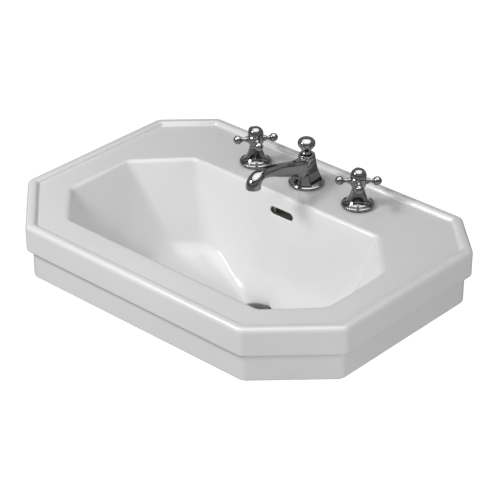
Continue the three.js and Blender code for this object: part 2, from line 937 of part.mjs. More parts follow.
function addSpout() {
  const group = new THREE.Group();
  group.position.set(0, spoutY, deckLevel);
  const lockNut = cut(
    hexagon(spout.nutFlat, nutTop - washers.nutHeight, nutTop),
    rod(spout.shankRadius + gap, nutTop - washers.nutHeight - 1, nutTop + 1, sides.small),
  );
  const atShank = (mesh) => {
    mesh.position.y = spout.shankOffset;
    return mesh;
  };
  const tip = named("spout_aerator", aerator(), "plastic");
  tip.position.y = -spout.reach;
  group.add(
    named("spout_body", spoutBody(), "chrome"),
    named("spout_gasket", keyholeWasher(spout.holeRadius + 5, gap, gasketTop), "rubber"),
    named("spout_rubber_washer",
      keyholeWasher(washers.radius, washerTop - washers.rubberThickness, washerTop), "rubber"),
    named("spout_steel_washer",
      keyholeWasher(washers.radius - 2, steelTop - washers.steelThickness, steelTop), "steel"),
    atShank(named("spout_shank", spoutShank(), "brass")),
    atShank(named("spout_lock_nut", lockNut, "brass")),
    atShank(named("spout_tee", spoutTee(), "brass")),
    tip,
  );
  return group;
}

// ---- connecting hoses, from each valve's outlet to the tee -------------------------------------------

function hoseNut() {
  const { nutRadius, nutLength, nutOverlap, radius } = hose;
  const flat = nutRadius * Math.cos(Math.PI / 6);
  return cut(
    hexagon(flat, 0, nutLength),
    rod(valve.portRadius + gap, -1, nutOverlap, sides.small),
    rod(radius + gap, nutOverlap - 1, nutLength + 1, sides.small),
  );
}

function addHose(name, side) {
  const group = new THREE.Group();
  const shankY = spoutY + spout.shankOffset;
  const valveEnd = taps.spacing / 2 - valve.portReach;
  const valveLevel = deckLevel + valve.outletHeight;
  const teeLevel = deckLevel + spout.teePort;
  const start = valveEnd - gap;
  const finish = spout.teeReach + gap;
  const straight = hose.nutLength - hose.nutOverlap + 1;
  const route = new THREE.CatmullRomCurve3([
    ...[0, 1, 2].map((step) =>
      new THREE.Vector3(side * (start - straight * step), tapY, valveLevel)),
    ...[2, 1, 0].map((step) =>
      new THREE.Vector3(side * (finish + straight * step), shankY, teeLevel)),
  ]);
  const section = new THREE.Shape().absarc(0, 0, hose.radius, 0, 2 * Math.PI);
  const tube = new THREE.ExtrudeGeometry(section, { steps: 16, extrudePath: route, curveSegments: 3 });
  const valveNut = named(`${name}_hose_valve_nut`, hoseNut(), "brass");
  valveNut.position.set(side * (valveEnd + hose.nutOverlap - gap), tapY, valveLevel);
  valveNut.rotation.y = (-side * Math.PI) / 2;
  const teeNut = named(`${name}_hose_tee_nut`, hoseNut(), "brass");
  teeNut.position.set(side * (spout.teeReach - hose.nutOverlap + gap), shankY, teeLevel);
  teeNut.rotation.y = (side * Math.PI) / 2;
  group.add(named(`${name}_hose`, tube, "braid"), valveNut, teeNut);
  return group;
}

// ---- lift rod and its strap: x and y from the rod's axis, heights are levels -------------------------

function liftKnob() {
  const { neckRadius, waistRadius, radius, bottom, waistHeight, middle, top } = knob;
  const profile = [
    [0, bottom],
    [neckRadius - 0.6, bottom],
    [neckRadius, bottom + 0.8],
    [neckRadius, waistHeight - 4],
    [waistRadius + 0.6, waistHeight - 2.6],
    [waistRadius, waistHeight],
    [11, waistHeight + 4],
    [14, middle - 4.6],
    [radius, middle],
    [14.2, middle + 4],
    [11.4, middle + 7.6],
    [6, middle + 10.2],
    [0, top],
  ];
  const bore = popup.liftRodRadius + gap;
  return cut(turned(profile), rod(bore, bottom - 1, bottom + 9, sides.small));
}

function guideBush() {
  const floor = spout.height - spout.recessDepth + gap;
  const bore = popup.liftRodRadius + gap;
  return turned([
    [bore, floor - 20],
    [popup.liftRodRadius + 1.7 - gap, floor - 20],
    [popup.liftRodRadius + 1.7 - gap, floor],
    [spout.recessRadius - 1, floor],
    [spout.recessRadius - 1, floor + 1],
    [bore, floor + 1],
    [bore, floor - 20],
  ], sides.small);
}

function clevisStrap() {
  const { strapTop, strapThickness, strapWidth, strapOffset, tabSpacing, strapHole } = popup;
  const bottom = strapHoleLevel - 9;
  const bar = block(0, strapOffset + strapThickness / 2, (strapTop + bottom) / 2,
    strapWidth, strapThickness, strapTop - bottom);
  const tabReach = strapOffset + popup.liftRodRadius + 3;
  const tab = (level) => cut(
    block(0, strapOffset - tabReach / 2 + 1, level - strapThickness / 2,
      strapWidth, tabReach, strapThickness),
    rod(popup.liftRodRadius + gap, level - 3, level + 1, sides.small),
  );
  const hole = (level, radius) => moved(
    alongY(rod(radius, strapOffset - 1, strapOffset + strapThickness + 1, sides.tiny)), 0, 0, level,
  );
  const holes = [hole(strapTop - tabSpacing / 2, 2.3)];
  for (let i = 0; i < 6; i += 1) {
    holes.push(hole(strapHoleLevel + i * popup.strapPitch, strapHole));
  }
  return cut(join(bar, tab(strapTop), tab(strapTop - tabSpacing)), ...holes);
}

function thumbScrew() {
  const front = popup.liftRodRadius + gap;
  const back = popup.strapOffset + popup.strapThickness + gap;
  const screw = turned([
    [0, front],
    [2, front],
    [2, back],
    [6, back],
    [6, back + 2],
    [5, back + 3],
    [5, back + 7],
    [4, back + 8],
    [0, back + 8],
  ], sides.tiny);
  return moved(alongY(screw), 0, 0, popup.strapTop - popup.tabSpacing / 2);
}

const clipReach = 5;

function springClip() {
  const thick = 0.8;
  const middle = popup.strapOffset + popup.strapThickness / 2;
  const height = 15;
  const low = strapHoleLevel - height / 2 - 4;
  const leg = (y) => block(0, y, low + height / 2, 9, thick, height);
  const sole = block(0, middle, low + thick / 2, 9, 2 * clipReach, thick);
  const drop = popup.rodRadius + slip + clipReach * Math.tan(popup.tilt);
  const eye = alongY(rod(drop, middle - clipReach - 2, middle + clipReach + 2, sides.tiny));
  return cut(
    join(leg(middle - clipReach), leg(middle + clipReach), sole),
    moved(eye, 0, 0, strapHoleLevel),
  );
}

function addLift() {
  const group = new THREE.Group();
  group.position.set(0, liftRodY, 0);
  const lift = named("lift_knob", moved(liftKnob(), 0, 0, deckLevel), "chrome");
  const liftRod = rod(popup.liftRodRadius, popup.liftRodEnd, deckLevel + knob.bottom + 8, sides.small);
  group.add(
    lift,
    named("lift_rod", liftRod, "chrome"),
    named("lift_rod_guide_bush", moved(guideBush(), 0, 0, deckLevel), "plastic"),
    named("clevis_strap", clevisStrap(), "steel"),
    named("strap_thumb_screw", thumbScrew(), "brass"),
    named("strap_spring_clip", springClip(), "steel"),
  );
  return group;
}

// ---- pop-up waste: x and y from the drain's axis, heights from the bowl's floor ----------------------

function drainFlange() {
  const { flangeRadius, flangeThickness, cupRadius, cupDepth, cupWall } = drain;
  const { throatRadius, throatLength } = drain;
  return turned([
    [throatRadius, -throatLength],
    [throatRadius + 1.5, -throatLength],
    [throatRadius + 1.5, -cupDepth - cupWall],
    [cupRadius + cupWall, -cupDepth - cupWall],
    [cupRadius + cupWall, -flangeThickness],
    [flangeRadius, -flangeThickness],
    [flangeRadius, -1.2],
    [flangeRadius - 0.8, -0.5],
    [flangeRadius - 3, -0.4],
    [cupRadius + 1.2, -1.6],
    [cupRadius, -2.6],
    [cupRadius, -cupDepth],
    [throatRadius, -cupDepth],
    [throatRadius, -throatLength],
  ], sides.large);
}

const pivotTip = pivotReach * Math.sin(popup.tilt);
const eyeHeight = -popup.pivotDrop + pivotTip;

function stopperBody() {
  const { capRadius, lift, rimHeight, domeHeight, sealInner, stemRadius } = stopper;
  const under = lift - rimHeight;
  const cap = turned([
    [0, eyeHeight - 9],
    [stemRadius, eyeHeight - 9],
    [stemRadius, under - 3.5],
    [sealInner - gap, under - 3.5],
    [sealInner - gap, under],
    [capRadius - 0.6, under],
    [capRadius, under + 0.8],
    [capRadius, lift - 0.5],
    [capRadius * 0.86, lift + domeHeight * 0.4],
    [capRadius * 0.55, lift + domeHeight * 0.8],
    [0, lift + domeHeight],
  ], sides.medium);
  const fin = (turn) => block(0, 0, (under - 3.5 - 22) / 2, 2 * (drain.throatRadius - 1.2), 1.6, 18)
    .rotateZ(turn);
  const eyeRadius = popup.rodRadius + slip + stemRadius * Math.tan(popup.tilt);
  const eye = moved(alongY(rod(eyeRadius, -2 * stemRadius, 2 * stemRadius, sides.small)), 0, 0, eyeHeight);
  return cut(join(cap, fin(Math.PI / 4), fin(-Math.PI / 4)), eye);
}

function stopperSeal() {
  const high = stopper.lift - stopper.rimHeight - gap;
  return ring(stopper.sealInner, stopper.sealOuter, high - 2.2, high);
}

function drainBody() {
  const { bodyRadius, bodyBore, bodyLength, cupDepth, cupWall } = drain;
  const { throatRadius, throatLength } = drain;
  const top = -cupDepth - cupWall - gap;
  const socket = throatRadius + 1.5 + gap;
  const tube = turned([
    [bodyBore, -bodyLength],
    [bodyRadius, -bodyLength],
    [bodyRadius, top],
    [socket, top],
    [socket, -throatLength - gap],
    [bodyBore, -throatLength - gap],
    [bodyBore, -bodyLength],
  ], sides.large);
  const portEnd = bodyRadius + popup.portLength;
  const port = moved(
    alongY(rod(popup.portRadius + 2, bodyBore + 1, portEnd, sides.medium)), 0, 0, -popup.pivotDrop,
  );
  const bore = moved(
    alongY(rod(popup.portRadius - 1, 0, portEnd + 1, sides.small)), 0, 0, -popup.pivotDrop,
  );
  const windowTop = -throatLength - gap - 1;
  const windows = [0, Math.PI / 2].map((turn) =>
    block(0, 0, windowTop - 4, 12, 3 * bodyRadius, 7).rotateZ(turn));
  return cut(join(tube, port), bore, ...windows);
}

function pivotSeal() {
  const inner = popup.ballRadius + gap;
  const start = pivotReach - popup.ballRadius;
  return moved(
    alongY(ring(inner, popup.portRadius - 1 - gap, start, start + 2 * popup.ballRadius, sides.small)),
    0, 0, -popup.pivotDrop,
  );
}

function pivotNut() {
  const portEnd = drain.bodyRadius + popup.portLength;
  const outer = popup.portRadius + 2 + gap;
  const cap = hexagon(outer + 2, portEnd - 8, portEnd + 3);
  const hollow = rod(outer, portEnd - 9, portEnd + gap, sides.medium);
  const reach = portEnd + 4 - pivotReach;
  const mouthRadius = popup.rodRadius + reach * Math.tan(popup.tilt) + slip;
  const mouth = rod(mouthRadius, portEnd - 1, portEnd + 4, sides.small);
  return moved(alongY(cut(cap, hollow, mouth)), 0, 0, -popup.pivotDrop);
}

// The rod's own frame: along +Y through the ball, which is at its origin.
function pivotRod() {
  const front = -pivotReach - 3;
  const back = strapReach + popup.rodTail;
  const bar = rod(popup.rodRadius, front, back, sides.tiny);
  const ball = new THREE.SphereGeometry(popup.ballRadius, sides.small, 10);
  return alongY(join(bar, ball));
}

function conicalGasket(top) {
  const inner = drain.bodyRadius + gap;
  return turned([
    [inner, top - 6],
    [drain.nutRadius - 2, top - 6],
    [drain.nutRadius + 2, top - 3],
    [drain.nutRadius + 2, top],
    [inner, top],
    [inner, top - 6],
  ], sides.large);
}

function addWaste() {
  const group = new THREE.Group();
  group.position.set(0, drainY, floorLevel);
  const inner = drain.bodyRadius + gap;
  const gasketTopHeight = -drain.bossHeight - gap;
  const washerHeight = gasketTopHeight - 6 - gap;
  const nutHeight = washerHeight - 1.5 - gap;
  const lockNut = cut(
    hexagon(drain.nutRadius - 2, nutHeight - drain.nutHeight, nutHeight),
    rod(inner, nutHeight - drain.nutHeight - 1, nutHeight + 1, sides.large),
  );
  const pivot = named("pivot_rod", pivotRod(), "chrome");
  pivot.position.set(0, pivotReach, -popup.pivotDrop);
  pivot.rotation.x = -popup.tilt;
  group.add(
    named("drain_flange", drainFlange(), "chrome"),
    named("drain_body", drainBody(), "chrome"),
    named("drain_gasket", conicalGasket(gasketTopHeight), "rubber"),
    named("drain_washer",
      ring(inner, drain.nutRadius, washerHeight - 1.5, washerHeight, sides.large), "plastic"),
    named("drain_lock_nut", lockNut, "chrome"),
    named("stopper", stopperBody(), "chrome"),
    named("stopper_seal", stopperSeal(), "rubber"),
    named("pivot_seal", pivotSeal(), "plastic"),
    named("pivot_nut", pivotNut(), "chrome"),
    pivot,
  );
  return group;
}

// ---- assembly ----------------------------------------------------------------------------------------

const washbasin = new THREE.Group();
washbasin.position.z = rimLevel;
washbasin.add(
  named("basin", basin(), "ceramic"),
  addValve("hot", -1, taps.hotTurn),
  addValve("cold", 1, taps.coldTurn),
  addSpout(),
  addHose("hot", -1),
  addHose("cold", 1),
  addLift(),
  addWaste(),
);

export default washbasin;
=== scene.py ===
import json
import math

import bmesh
import bpy
import numpy as np
from mathutils import Matrix, Vector


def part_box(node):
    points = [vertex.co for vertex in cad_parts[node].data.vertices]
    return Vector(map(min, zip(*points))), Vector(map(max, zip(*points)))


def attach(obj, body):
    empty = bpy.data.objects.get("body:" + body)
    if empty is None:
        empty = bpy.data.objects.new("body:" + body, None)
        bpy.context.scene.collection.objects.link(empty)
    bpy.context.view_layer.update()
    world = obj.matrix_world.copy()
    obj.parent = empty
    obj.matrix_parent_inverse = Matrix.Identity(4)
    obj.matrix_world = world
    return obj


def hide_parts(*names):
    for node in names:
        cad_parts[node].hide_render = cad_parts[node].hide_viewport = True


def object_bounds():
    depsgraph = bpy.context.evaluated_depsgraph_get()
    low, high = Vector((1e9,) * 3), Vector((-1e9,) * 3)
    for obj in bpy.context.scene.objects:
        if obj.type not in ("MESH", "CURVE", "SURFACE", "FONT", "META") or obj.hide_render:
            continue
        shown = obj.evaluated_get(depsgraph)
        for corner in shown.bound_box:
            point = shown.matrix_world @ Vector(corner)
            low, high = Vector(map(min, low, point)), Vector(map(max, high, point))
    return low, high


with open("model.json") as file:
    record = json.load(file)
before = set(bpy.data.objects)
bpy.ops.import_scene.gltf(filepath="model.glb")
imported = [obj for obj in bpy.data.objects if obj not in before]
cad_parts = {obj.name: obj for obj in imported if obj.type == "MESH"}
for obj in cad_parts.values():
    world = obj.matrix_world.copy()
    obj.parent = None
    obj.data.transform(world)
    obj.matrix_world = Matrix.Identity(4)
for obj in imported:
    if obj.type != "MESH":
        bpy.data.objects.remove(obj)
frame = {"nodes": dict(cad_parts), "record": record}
cadLow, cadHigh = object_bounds()
scene = bpy.context.scene
mm = 0.001  # every piece is drawn in millimetres and scaled once, in newMesh
print("frame loaded,", len(frame["nodes"]), "pieces")


# ---- where things are, in millimetres, read from the frame

def boxOf(node):
    low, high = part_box(node)
    return np.array(low) / mm, np.array(high) / mm


def axisOf(node):
    low, high = boxOf(node)
    return (low[0] + high[0]) / 2, (low[1] + high[1]) / 2


gap = 0.3  # between pieces that rest on each other
flangeSink = 0.4  # from the bowl's floor down to the top of the waste flange
rodForward = 1.5  # from the spout's middle to the lift rod
basinLow, basinHigh = boxOf("basin")
rimTop = basinHigh[2]
deckTop = boxOf("hot_deck_seal")[0][2] - gap
drainX, drainY = axisOf("drain_flange")
floorTop = boxOf("drain_flange")[1][2] + flangeSink
spoutX, spoutY = axisOf("lift_rod")[0], axisOf("lift_rod")[1] + rodForward


# ---- mesh helpers

def newMesh(name, points, faces, sharpAngle=35):
    mesh = bpy.data.meshes.new(name)
    mesh.from_pydata((np.asarray(points, float) * mm).tolist(), [], faces)
    piece = bpy.data.objects.new(name, mesh)
    scene.collection.objects.link(piece)
    tidyMesh(piece, sharpAngle)
    return piece


def tidyMesh(piece, sharpAngle=35, outward=True):
    work = bmesh.new()
    work.from_mesh(piece.data)
    bmesh.ops.remove_doubles(work, verts=work.verts, dist=0.00001)
    bmesh.ops.dissolve_degenerate(work, edges=work.edges, dist=0.000005)
    if outward:
        bmesh.ops.recalc_face_normals(work, faces=work.faces)
    work.to_mesh(piece.data)
    work.free()
    piece.data.shade_smooth()
    piece.data.set_sharp_from_angle(angle=math.radians(sharpAngle))


def applyAll(piece):
    graph = bpy.context.evaluated_depsgraph_get()
    made = bpy.data.meshes.new_from_object(piece.evaluated_get(graph))
    piece.modifiers.clear()
    piece.data = made
    return piece


def combine(piece, other, how, sharpAngle=35):
    step = piece.modifiers.new("join", "BOOLEAN")
    step.operation = how
    step.solver = "EXACT"
    step.object = other
    applyAll(piece)
    bpy.data.objects.remove(other)
    tidyMesh(piece, sharpAngle, outward=False)
    return piece


def weld(piece, *others):
    for other in others:
        combine(piece, other, "UNION")
    return piece


def carve(piece, *tools):
    for tool in tools:
        combine(piece, tool, "DIFFERENCE")
    return piece


def evenNormals(piece):
    piece.modifiers.new("even normals", "WEIGHTED_NORMAL").keep_sharp = True
    return applyAll(piece)


def softened(piece, voxel, passes, factor=0.5):
    step = piece.modifiers.new("skin", "REMESH")
    step.mode = "VOXEL"
    step.voxel_size = voxel * mm
    step.use_smooth_shade = True
    smooth = piece.modifiers.new("soften", "SMOOTH")
    smooth.factor = factor
    smooth.iterations = passes
    return applyAll(piece)


# Faces that join rows of points, each row of the same size, into a skin.
def rowFaces(rows, size, looped=False, capped=False):
    faces = []
    for row in range(rows if looped else rows - 1):
        low, high = row * size, (row + 1) % rows * size
        for i in range(size):
            j = (i + 1) % size
            faces.append((low + i, low + j, high + j, high + i))
    if capped:
        faces.append(tuple(range(size)))
        faces.append(tuple(range(rows * size - 1, (rows - 1) * size - 1, -1)))
    return faces


# Smooth run of rows through the given rows.
def smoothRows(keys, steps):
    rows = []
    last = len(keys) - 1
    for i in range(last):
        a, b, c, d = keys[max(i - 1, 0)], keys[i], keys[i + 1], keys[min(i + 2, last)]
        for k in range(steps):
            t = k / steps
            bend = (2 * a - 5 * b + 4 * c - d) * t * t + (3 * b - a - 3 * c + d) * t ** 3
            rows.append(0.5 * (2 * b + (c - a) * t + bend))
    rows.append(keys[-1])
    return rows


# Fillets a 2D path. Each point is (x, y) or (x, y, radius).
def filletPath(points, closed=True, stepAngle=12):
    count = len(points)
    path = []
    for i, point in enumerate(points):
        corner = np.array(point[:2], float)
        radius = point[2] if len(point) > 2 else 0
        ends = not closed and i in (0, count - 1)
        if radius <= 0 or ends:
            path.append(corner)
            continue
        toLast = np.array(points[i - 1][:2], float) - corner
        toNext = np.array(points[(i + 1) % count][:2], float) - corner
        lengths = np.linalg.norm(toLast), np.linalg.norm(toNext)
        toLast, toNext = toLast / lengths[0], toNext / lengths[1]
        half = math.acos(np.clip(toLast @ toNext, -1, 1)) / 2
        if half > math.radians(89):
            path.append(corner)
            continue
        reach = min(radius / math.tan(half), 0.48 * min(lengths))
        radius = reach * math.tan(half)
        middle = corner + (toLast + toNext) / np.linalg.norm(toLast + toNext) * radius / math.sin(half)
        start, end = corner + toLast * reach - middle, corner + toNext * reach - middle
        sweep = math.pi - 2 * half
        steps = max(2, math.ceil(math.degrees(sweep) / stepAngle))
        turn = sweep if start[0] * end[1] - start[1] * end[0] > 0 else -sweep
        for step in range(steps + 1):
            a = turn * step / steps
            path.append(middle + [start[0] * math.cos(a) - start[1] * math.sin(a),
                                  start[0] * math.sin(a) + start[1] * math.cos(a)])
    return path


# Turned piece about its own axis. Profile points are (radius, height, fillet).
def turned(name, profile, at=(0, 0, 0), direction=(0, 0, 1), segments=72, closed=False, stepAngle=12):
    path = filletPath(profile, closed, stepAngle)
    angles = np.linspace(0, 2 * math.pi, segments, endpoint=False)
    points = [(r * math.cos(a), r * math.sin(a), h) for r, h in path for a in angles]
    piece = newMesh(name, points, rowFaces(len(path), segments, looped=closed))
    return turnTo(piece, at, direction)


def turnTo(piece, at=(0, 0, 0), direction=(0, 0, 1)):
    turn = Vector((0, 0, 1)).rotation_difference(Vector(direction)).to_matrix().to_4x4()
    piece.data.transform(Matrix.Translation(Vector(at) * mm) @ turn)
    return piece


# Washer, bush or sleeve with eased edges.
def sleeve(name, inner, outer, low, high, at=(0, 0, 0), direction=(0, 0, 1), ease=0.4, segments=72):
    profile = [(inner, low, ease), (outer, low, ease), (outer, high, ease), (inner, high, ease)]
    return turned(name, profile, at, direction, segments, closed=True)


def bar(name, radius, low, high, at=(0, 0, 0), direction=(0, 0, 1), ease=0.0, segments=48):
    profile = [(0, low), (radius, low, ease), (radius, high, ease), (0, high)]
    return turned(name, profile, at, direction, segments)


# Hexagon nut with turned chamfers and an eased bore.
def hexNut(name, flat, low, high, bore, at=(0, 0, 0), direction=(0, 0, 1), chamferBoth=True):
    segments = 96
    chamferStart = flat * 0.96
    slope = math.tan(math.radians(30))
    angles = np.linspace(0, 2 * math.pi, segments, endpoint=False)

    def hexRadius(angle):
        return flat / math.cos((angle + math.pi / 6) % (math.pi / 3) - math.pi / 6)

    def row(radiusOf, heightOf):
        return [(radiusOf(a) * math.cos(a), radiusOf(a) * math.sin(a), heightOf(a)) for a in angles]

    def drop(a):
        return (hexRadius(a) - chamferStart) * slope

    lowDrop = drop if chamferBoth else (lambda a: 0.2)
    rows = [
        row(lambda a: bore, lambda a: low + 0.6),
        row(lambda a: bore + 0.6, lambda a: low),
        row(lambda a: chamferStart, lambda a: low),
        row(hexRadius, lambda a: low + lowDrop(a)),
        row(hexRadius, lambda a: high - drop(a)),
        row(lambda a: chamferStart, lambda a: high),
        row(lambda a: bore + 0.6, lambda a: high),
        row(lambda a: bore, lambda a: high - 0.6),
    ]
    points = [point for each in rows for point in each]
    nut = newMesh(name, points, rowFaces(len(rows), segments, looped=True), 24)
    return turnTo(nut, at, direction)


# Prism of a side outline in (y, z), centred on x.
def sidePrism(name, outline, width, x=0.0):
    path = [np.array(p[:2], float) for p in filletPath(outline)]
    count = len(path)
    points = [(x + side * width / 2, p[0], p[1]) for side in (-1, 1) for p in path]
    faces = [tuple(range(count)), tuple(range(2 * count - 1, count - 1, -1))]
    faces += [(i, count + i, count + (i + 1) % count, (i + 1) % count) for i in range(count)]
    return newMesh(name, points, faces)


def boxPiece(name, low, high, ease=0.0):
    corners = [(x, y, z) for x in (low[0], high[0]) for y in (low[1], high[1]) for z in (low[2], high[2])]
    faces = [(0, 1, 3, 2), (4, 6, 7, 5), (0, 4, 5, 1), (2, 3, 7, 6), (0, 2, 6, 4), (1, 5, 7, 3)]
    piece = newMesh(name, corners, faces)
    return easeEdges(piece, ease) if ease else piece


def easeEdges(piece, width, segments=3):
    step = piece.modifiers.new("ease", "BEVEL")
    step.width = width * mm
    step.segments = segments
    step.limit_method = "ANGLE"
    step.angle_limit = math.radians(30)
    applyAll(piece)
    tidyMesh(piece, 40)
    return piece


def settle(piece, body, slot, finish, *nodes):
    piece.data.materials.clear()
    piece.data.materials.append(finish)
    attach(piece, body)
    if nodes:
        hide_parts(*nodes)
    return piece


# ---- shared effects, each a node group

def newGroup(name, inputs, outputs):
    group = bpy.data.node_groups.new(name, "ShaderNodeTree")
    for label, value in inputs.items():
        group.interface.new_socket(label, in_out="INPUT", socket_type="NodeSocketFloat").default_value = value
    for label in outputs:
        group.interface.new_socket(label, in_out="OUTPUT", socket_type="NodeSocketFloat")
    return group, group.nodes.new("NodeGroupInput"), group.nodes.new("NodeGroupOutput")


def cloudingGroup():
    group, given, out = newGroup("clouding", {"Scale": 20, "Detail": 3, "Low": 0, "High": 1}, ["Value"])
    nodes, link = group.nodes, group.links.new
    place = nodes.new("ShaderNodeTexCoord")
    noise = nodes.new("ShaderNodeTexNoise")
    spread = nodes.new("ShaderNodeMapRange")
    spread.inputs["From Min"].default_value = 0.3
    spread.inputs["From Max"].default_value = 0.7
    link(place.outputs["Object"], noise.inputs["Vector"])
    link(given.outputs["Scale"], noise.inputs["Scale"])
    link(given.outputs["Detail"], noise.inputs["Detail"])
    link(noise.outputs["Fac"], spread.inputs["Value"])
    link(given.outputs["Low"], spread.inputs["To Min"])
    link(given.outputs["High"], spread.inputs["To Max"])
    link(spread.outputs["Result"], out.inputs["Value"])
    return group


def hairlinesGroup():
    group, given, out = newGroup("hairlines", {"Scale": 90, "Stretch": 14, "Amount": 1}, ["Height"])
    nodes, link = group.nodes, group.links.new
    place = nodes.new("ShaderNodeTexCoord")
    pull = nodes.new("ShaderNodeCombineXYZ")
    pull.inputs["X"].default_value = 1.0
    pull.inputs["Y"].default_value = 1.0
    squeeze = nodes.new("ShaderNodeVectorMath")
    squeeze.operation = "MULTIPLY"
    noise = nodes.new("ShaderNodeTexNoise")
    noise.inputs["Detail"].default_value = 2.0
    amount = nodes.new("ShaderNodeMath")
    amount.operation = "MULTIPLY"
    link(given.outputs["Stretch"], pull.inputs["Z"])
    link(place.outputs["Object"], squeeze.inputs[0])
    link(pull.outputs["Vector"], squeeze.inputs[1])
    link(squeeze.outputs["Vector"], noise.inputs["Vector"])
    link(given.outputs["Scale"], noise.inputs["Scale"])
    link(noise.outputs["Fac"], amount.inputs[0])
    link(given.outputs["Amount"], amount.inputs[1])
    link(amount.outputs["Value"], out.inputs["Height"])
    return group


clouding = cloudingGroup()
hairlines = hairlinesGroup()


def groupNode(nodes, group, **values):
    node = nodes.new("ShaderNodeGroup")
    node.node_tree = group
    for label, value in values.items():
        node.inputs[label].default_value = value
    return node


# Every finish starts here: two tones, clouded roughness and a bump of the given height node.
def newFinish(name, look):
    finish = bpy.data.materials.new(name)
    finish.use_nodes = True
    nodes, link = finish.node_tree.nodes, finish.node_tree.links.new
    shader = nodes["Principled BSDF"]
    shader.inputs["Metallic"].default_value = look["metallic"]
    tones = nodes.new("ShaderNodeMix")
    tones.data_type = "RGBA"
    tones.inputs["A"].default_value = (*look["tones"][0], 1)
    tones.inputs["B"].default_value = (*look["tones"][1], 1)
    tint = groupNode(nodes, clouding, Scale=look["toneScale"], Detail=4)
    link(tint.outputs["Value"], tones.inputs["Factor"])
    link(tones.outputs["Result"], shader.inputs["Base Color"])
    sheen = groupNode(nodes, clouding, Scale=look["roughScale"], Detail=3,
                      Low=look["rough"][0], High=look["rough"][1])
    link(sheen.outputs["Value"], shader.inputs["Roughness"])
    bump = nodes.new("ShaderNodeBump")
    bump.inputs["Strength"].default_value = look["bump"]
    bump.inputs["Distance"].default_value = look["bumpDepth"] * mm
    link(bump.outputs["Normal"], shader.inputs["Normal"])
    if look["grain"] == "hairlines":
        height = groupNode(nodes, hairlines, Scale=look["grainScale"], Stretch=look["grainStretch"])
        link(height.outputs["Height"], bump.inputs["Height"])
    else:
        height = groupNode(nodes, clouding, Scale=look["grainScale"], Detail=2)
        link(height.outputs["Value"], bump.inputs["Height"])
    return finish, shader, tones, sheen, bump


glazeLook = {
    "metallic": 0.0, "tones": ((0.80, 0.805, 0.805), (0.84, 0.84, 0.835)), "toneScale": 7,
    "rough": (0.17, 0.23), "roughScale": 9, "grain": "clouds", "grainScale": 38, "bump": 0.12,
    "bumpDepth": 0.25, "biscuit": (0.80, 0.76, 0.70), "coat": 0.15,
}


# Glossy white glaze, left off the back face, where the bare biscuit sits against the wall.
def makeGlaze():
    finish, shader, tones, sheen, bump = newFinish("white_glaze", glazeLook)
    nodes, link = finish.node_tree.nodes, finish.node_tree.links.new
    shader.inputs["Coat Weight"].default_value = glazeLook["coat"]
    shader.inputs["Coat Roughness"].default_value = 0.04
    place = nodes.new("ShaderNodeTexCoord")
    split = nodes.new("ShaderNodeSeparateXYZ")
    edge = nodes.new("ShaderNodeMapRange")
    edge.inputs["From Min"].default_value = -0.0022
    edge.inputs["From Max"].default_value = -0.0006
    link(place.outputs["Object"], split.inputs["Vector"])
    link(split.outputs["Y"], edge.inputs["Value"])
    bare = nodes.new("ShaderNodeMix")
    bare.data_type = "RGBA"
    bare.inputs["B"].default_value = (*glazeLook["biscuit"], 1)
    link(edge.outputs["Result"], bare.inputs["Factor"])
    link(tones.outputs["Result"], bare.inputs["A"])
    link(bare.outputs["Result"], shader.inputs["Base Color"])
    dull = nodes.new("ShaderNodeMix")
    dull.inputs["B"].default_value = 0.85
    link(edge.outputs["Result"], dull.inputs["Factor"])
    link(sheen.outputs["Value"], dull.inputs["A"])
    link(dull.outputs["Result"], shader.inputs["Roughness"])
    return finish


# Tones darker than real polished chrome: painted shade that stands in for darker reflections of the room.
chromeLook = {
    "metallic": 1.0, "tones": ((0.27, 0.272, 0.275), (0.33, 0.33, 0.334)), "toneScale": 30,
    "rough": (0.05, 0.11), "roughScale": 60, "grain": "hairlines", "grainScale": 160, "grainStretch": 6,
    "bump": 0.05, "bumpDepth": 0.05,
}
brassLook = {
    "metallic": 1.0, "tones": ((0.50, 0.34, 0.13), (0.68, 0.50, 0.22)), "toneScale": 45,
    "rough": (0.24, 0.42), "roughScale": 70, "grain": "hairlines", "grainScale": 120, "grainStretch": 18,
    "bump": 0.25, "bumpDepth": 0.12,
}
steelLook = {
    "metallic": 1.0, "tones": ((0.42, 0.43, 0.45), (0.58, 0.59, 0.61)), "toneScale": 60,
    "rough": (0.28, 0.46), "roughScale": 50, "grain": "hairlines", "grainScale": 110, "grainStretch": 10,
    "bump": 0.3, "bumpDepth": 0.1,
}
rubberLook = {
    "metallic": 0.0, "tones": ((0.018, 0.018, 0.019), (0.035, 0.034, 0.033)), "toneScale": 40,
    "rough": (0.62, 0.85), "roughScale": 90, "grain": "clouds", "grainScale": 700, "bump": 0.35,
    "bumpDepth": 0.1,
}
plasticLook = {
    "metallic": 0.0, "tones": ((0.66, 0.66, 0.63), (0.74, 0.74, 0.71)), "toneScale": 35,
    "rough": (0.36, 0.5), "roughScale": 80, "grain": "clouds", "grainScale": 500, "bump": 0.2,
    "bumpDepth": 0.06,
}
braidLook = {
    "metallic": 1.0, "tones": ((0.34, 0.35, 0.36), (0.62, 0.63, 0.64)), "toneScale": 90,
    "rough": (0.24, 0.42), "roughScale": 120, "grain": "clouds", "grainScale": 200, "bump": 0.8,
    "bumpDepth": 0.3, "wires": 2400.0,
}


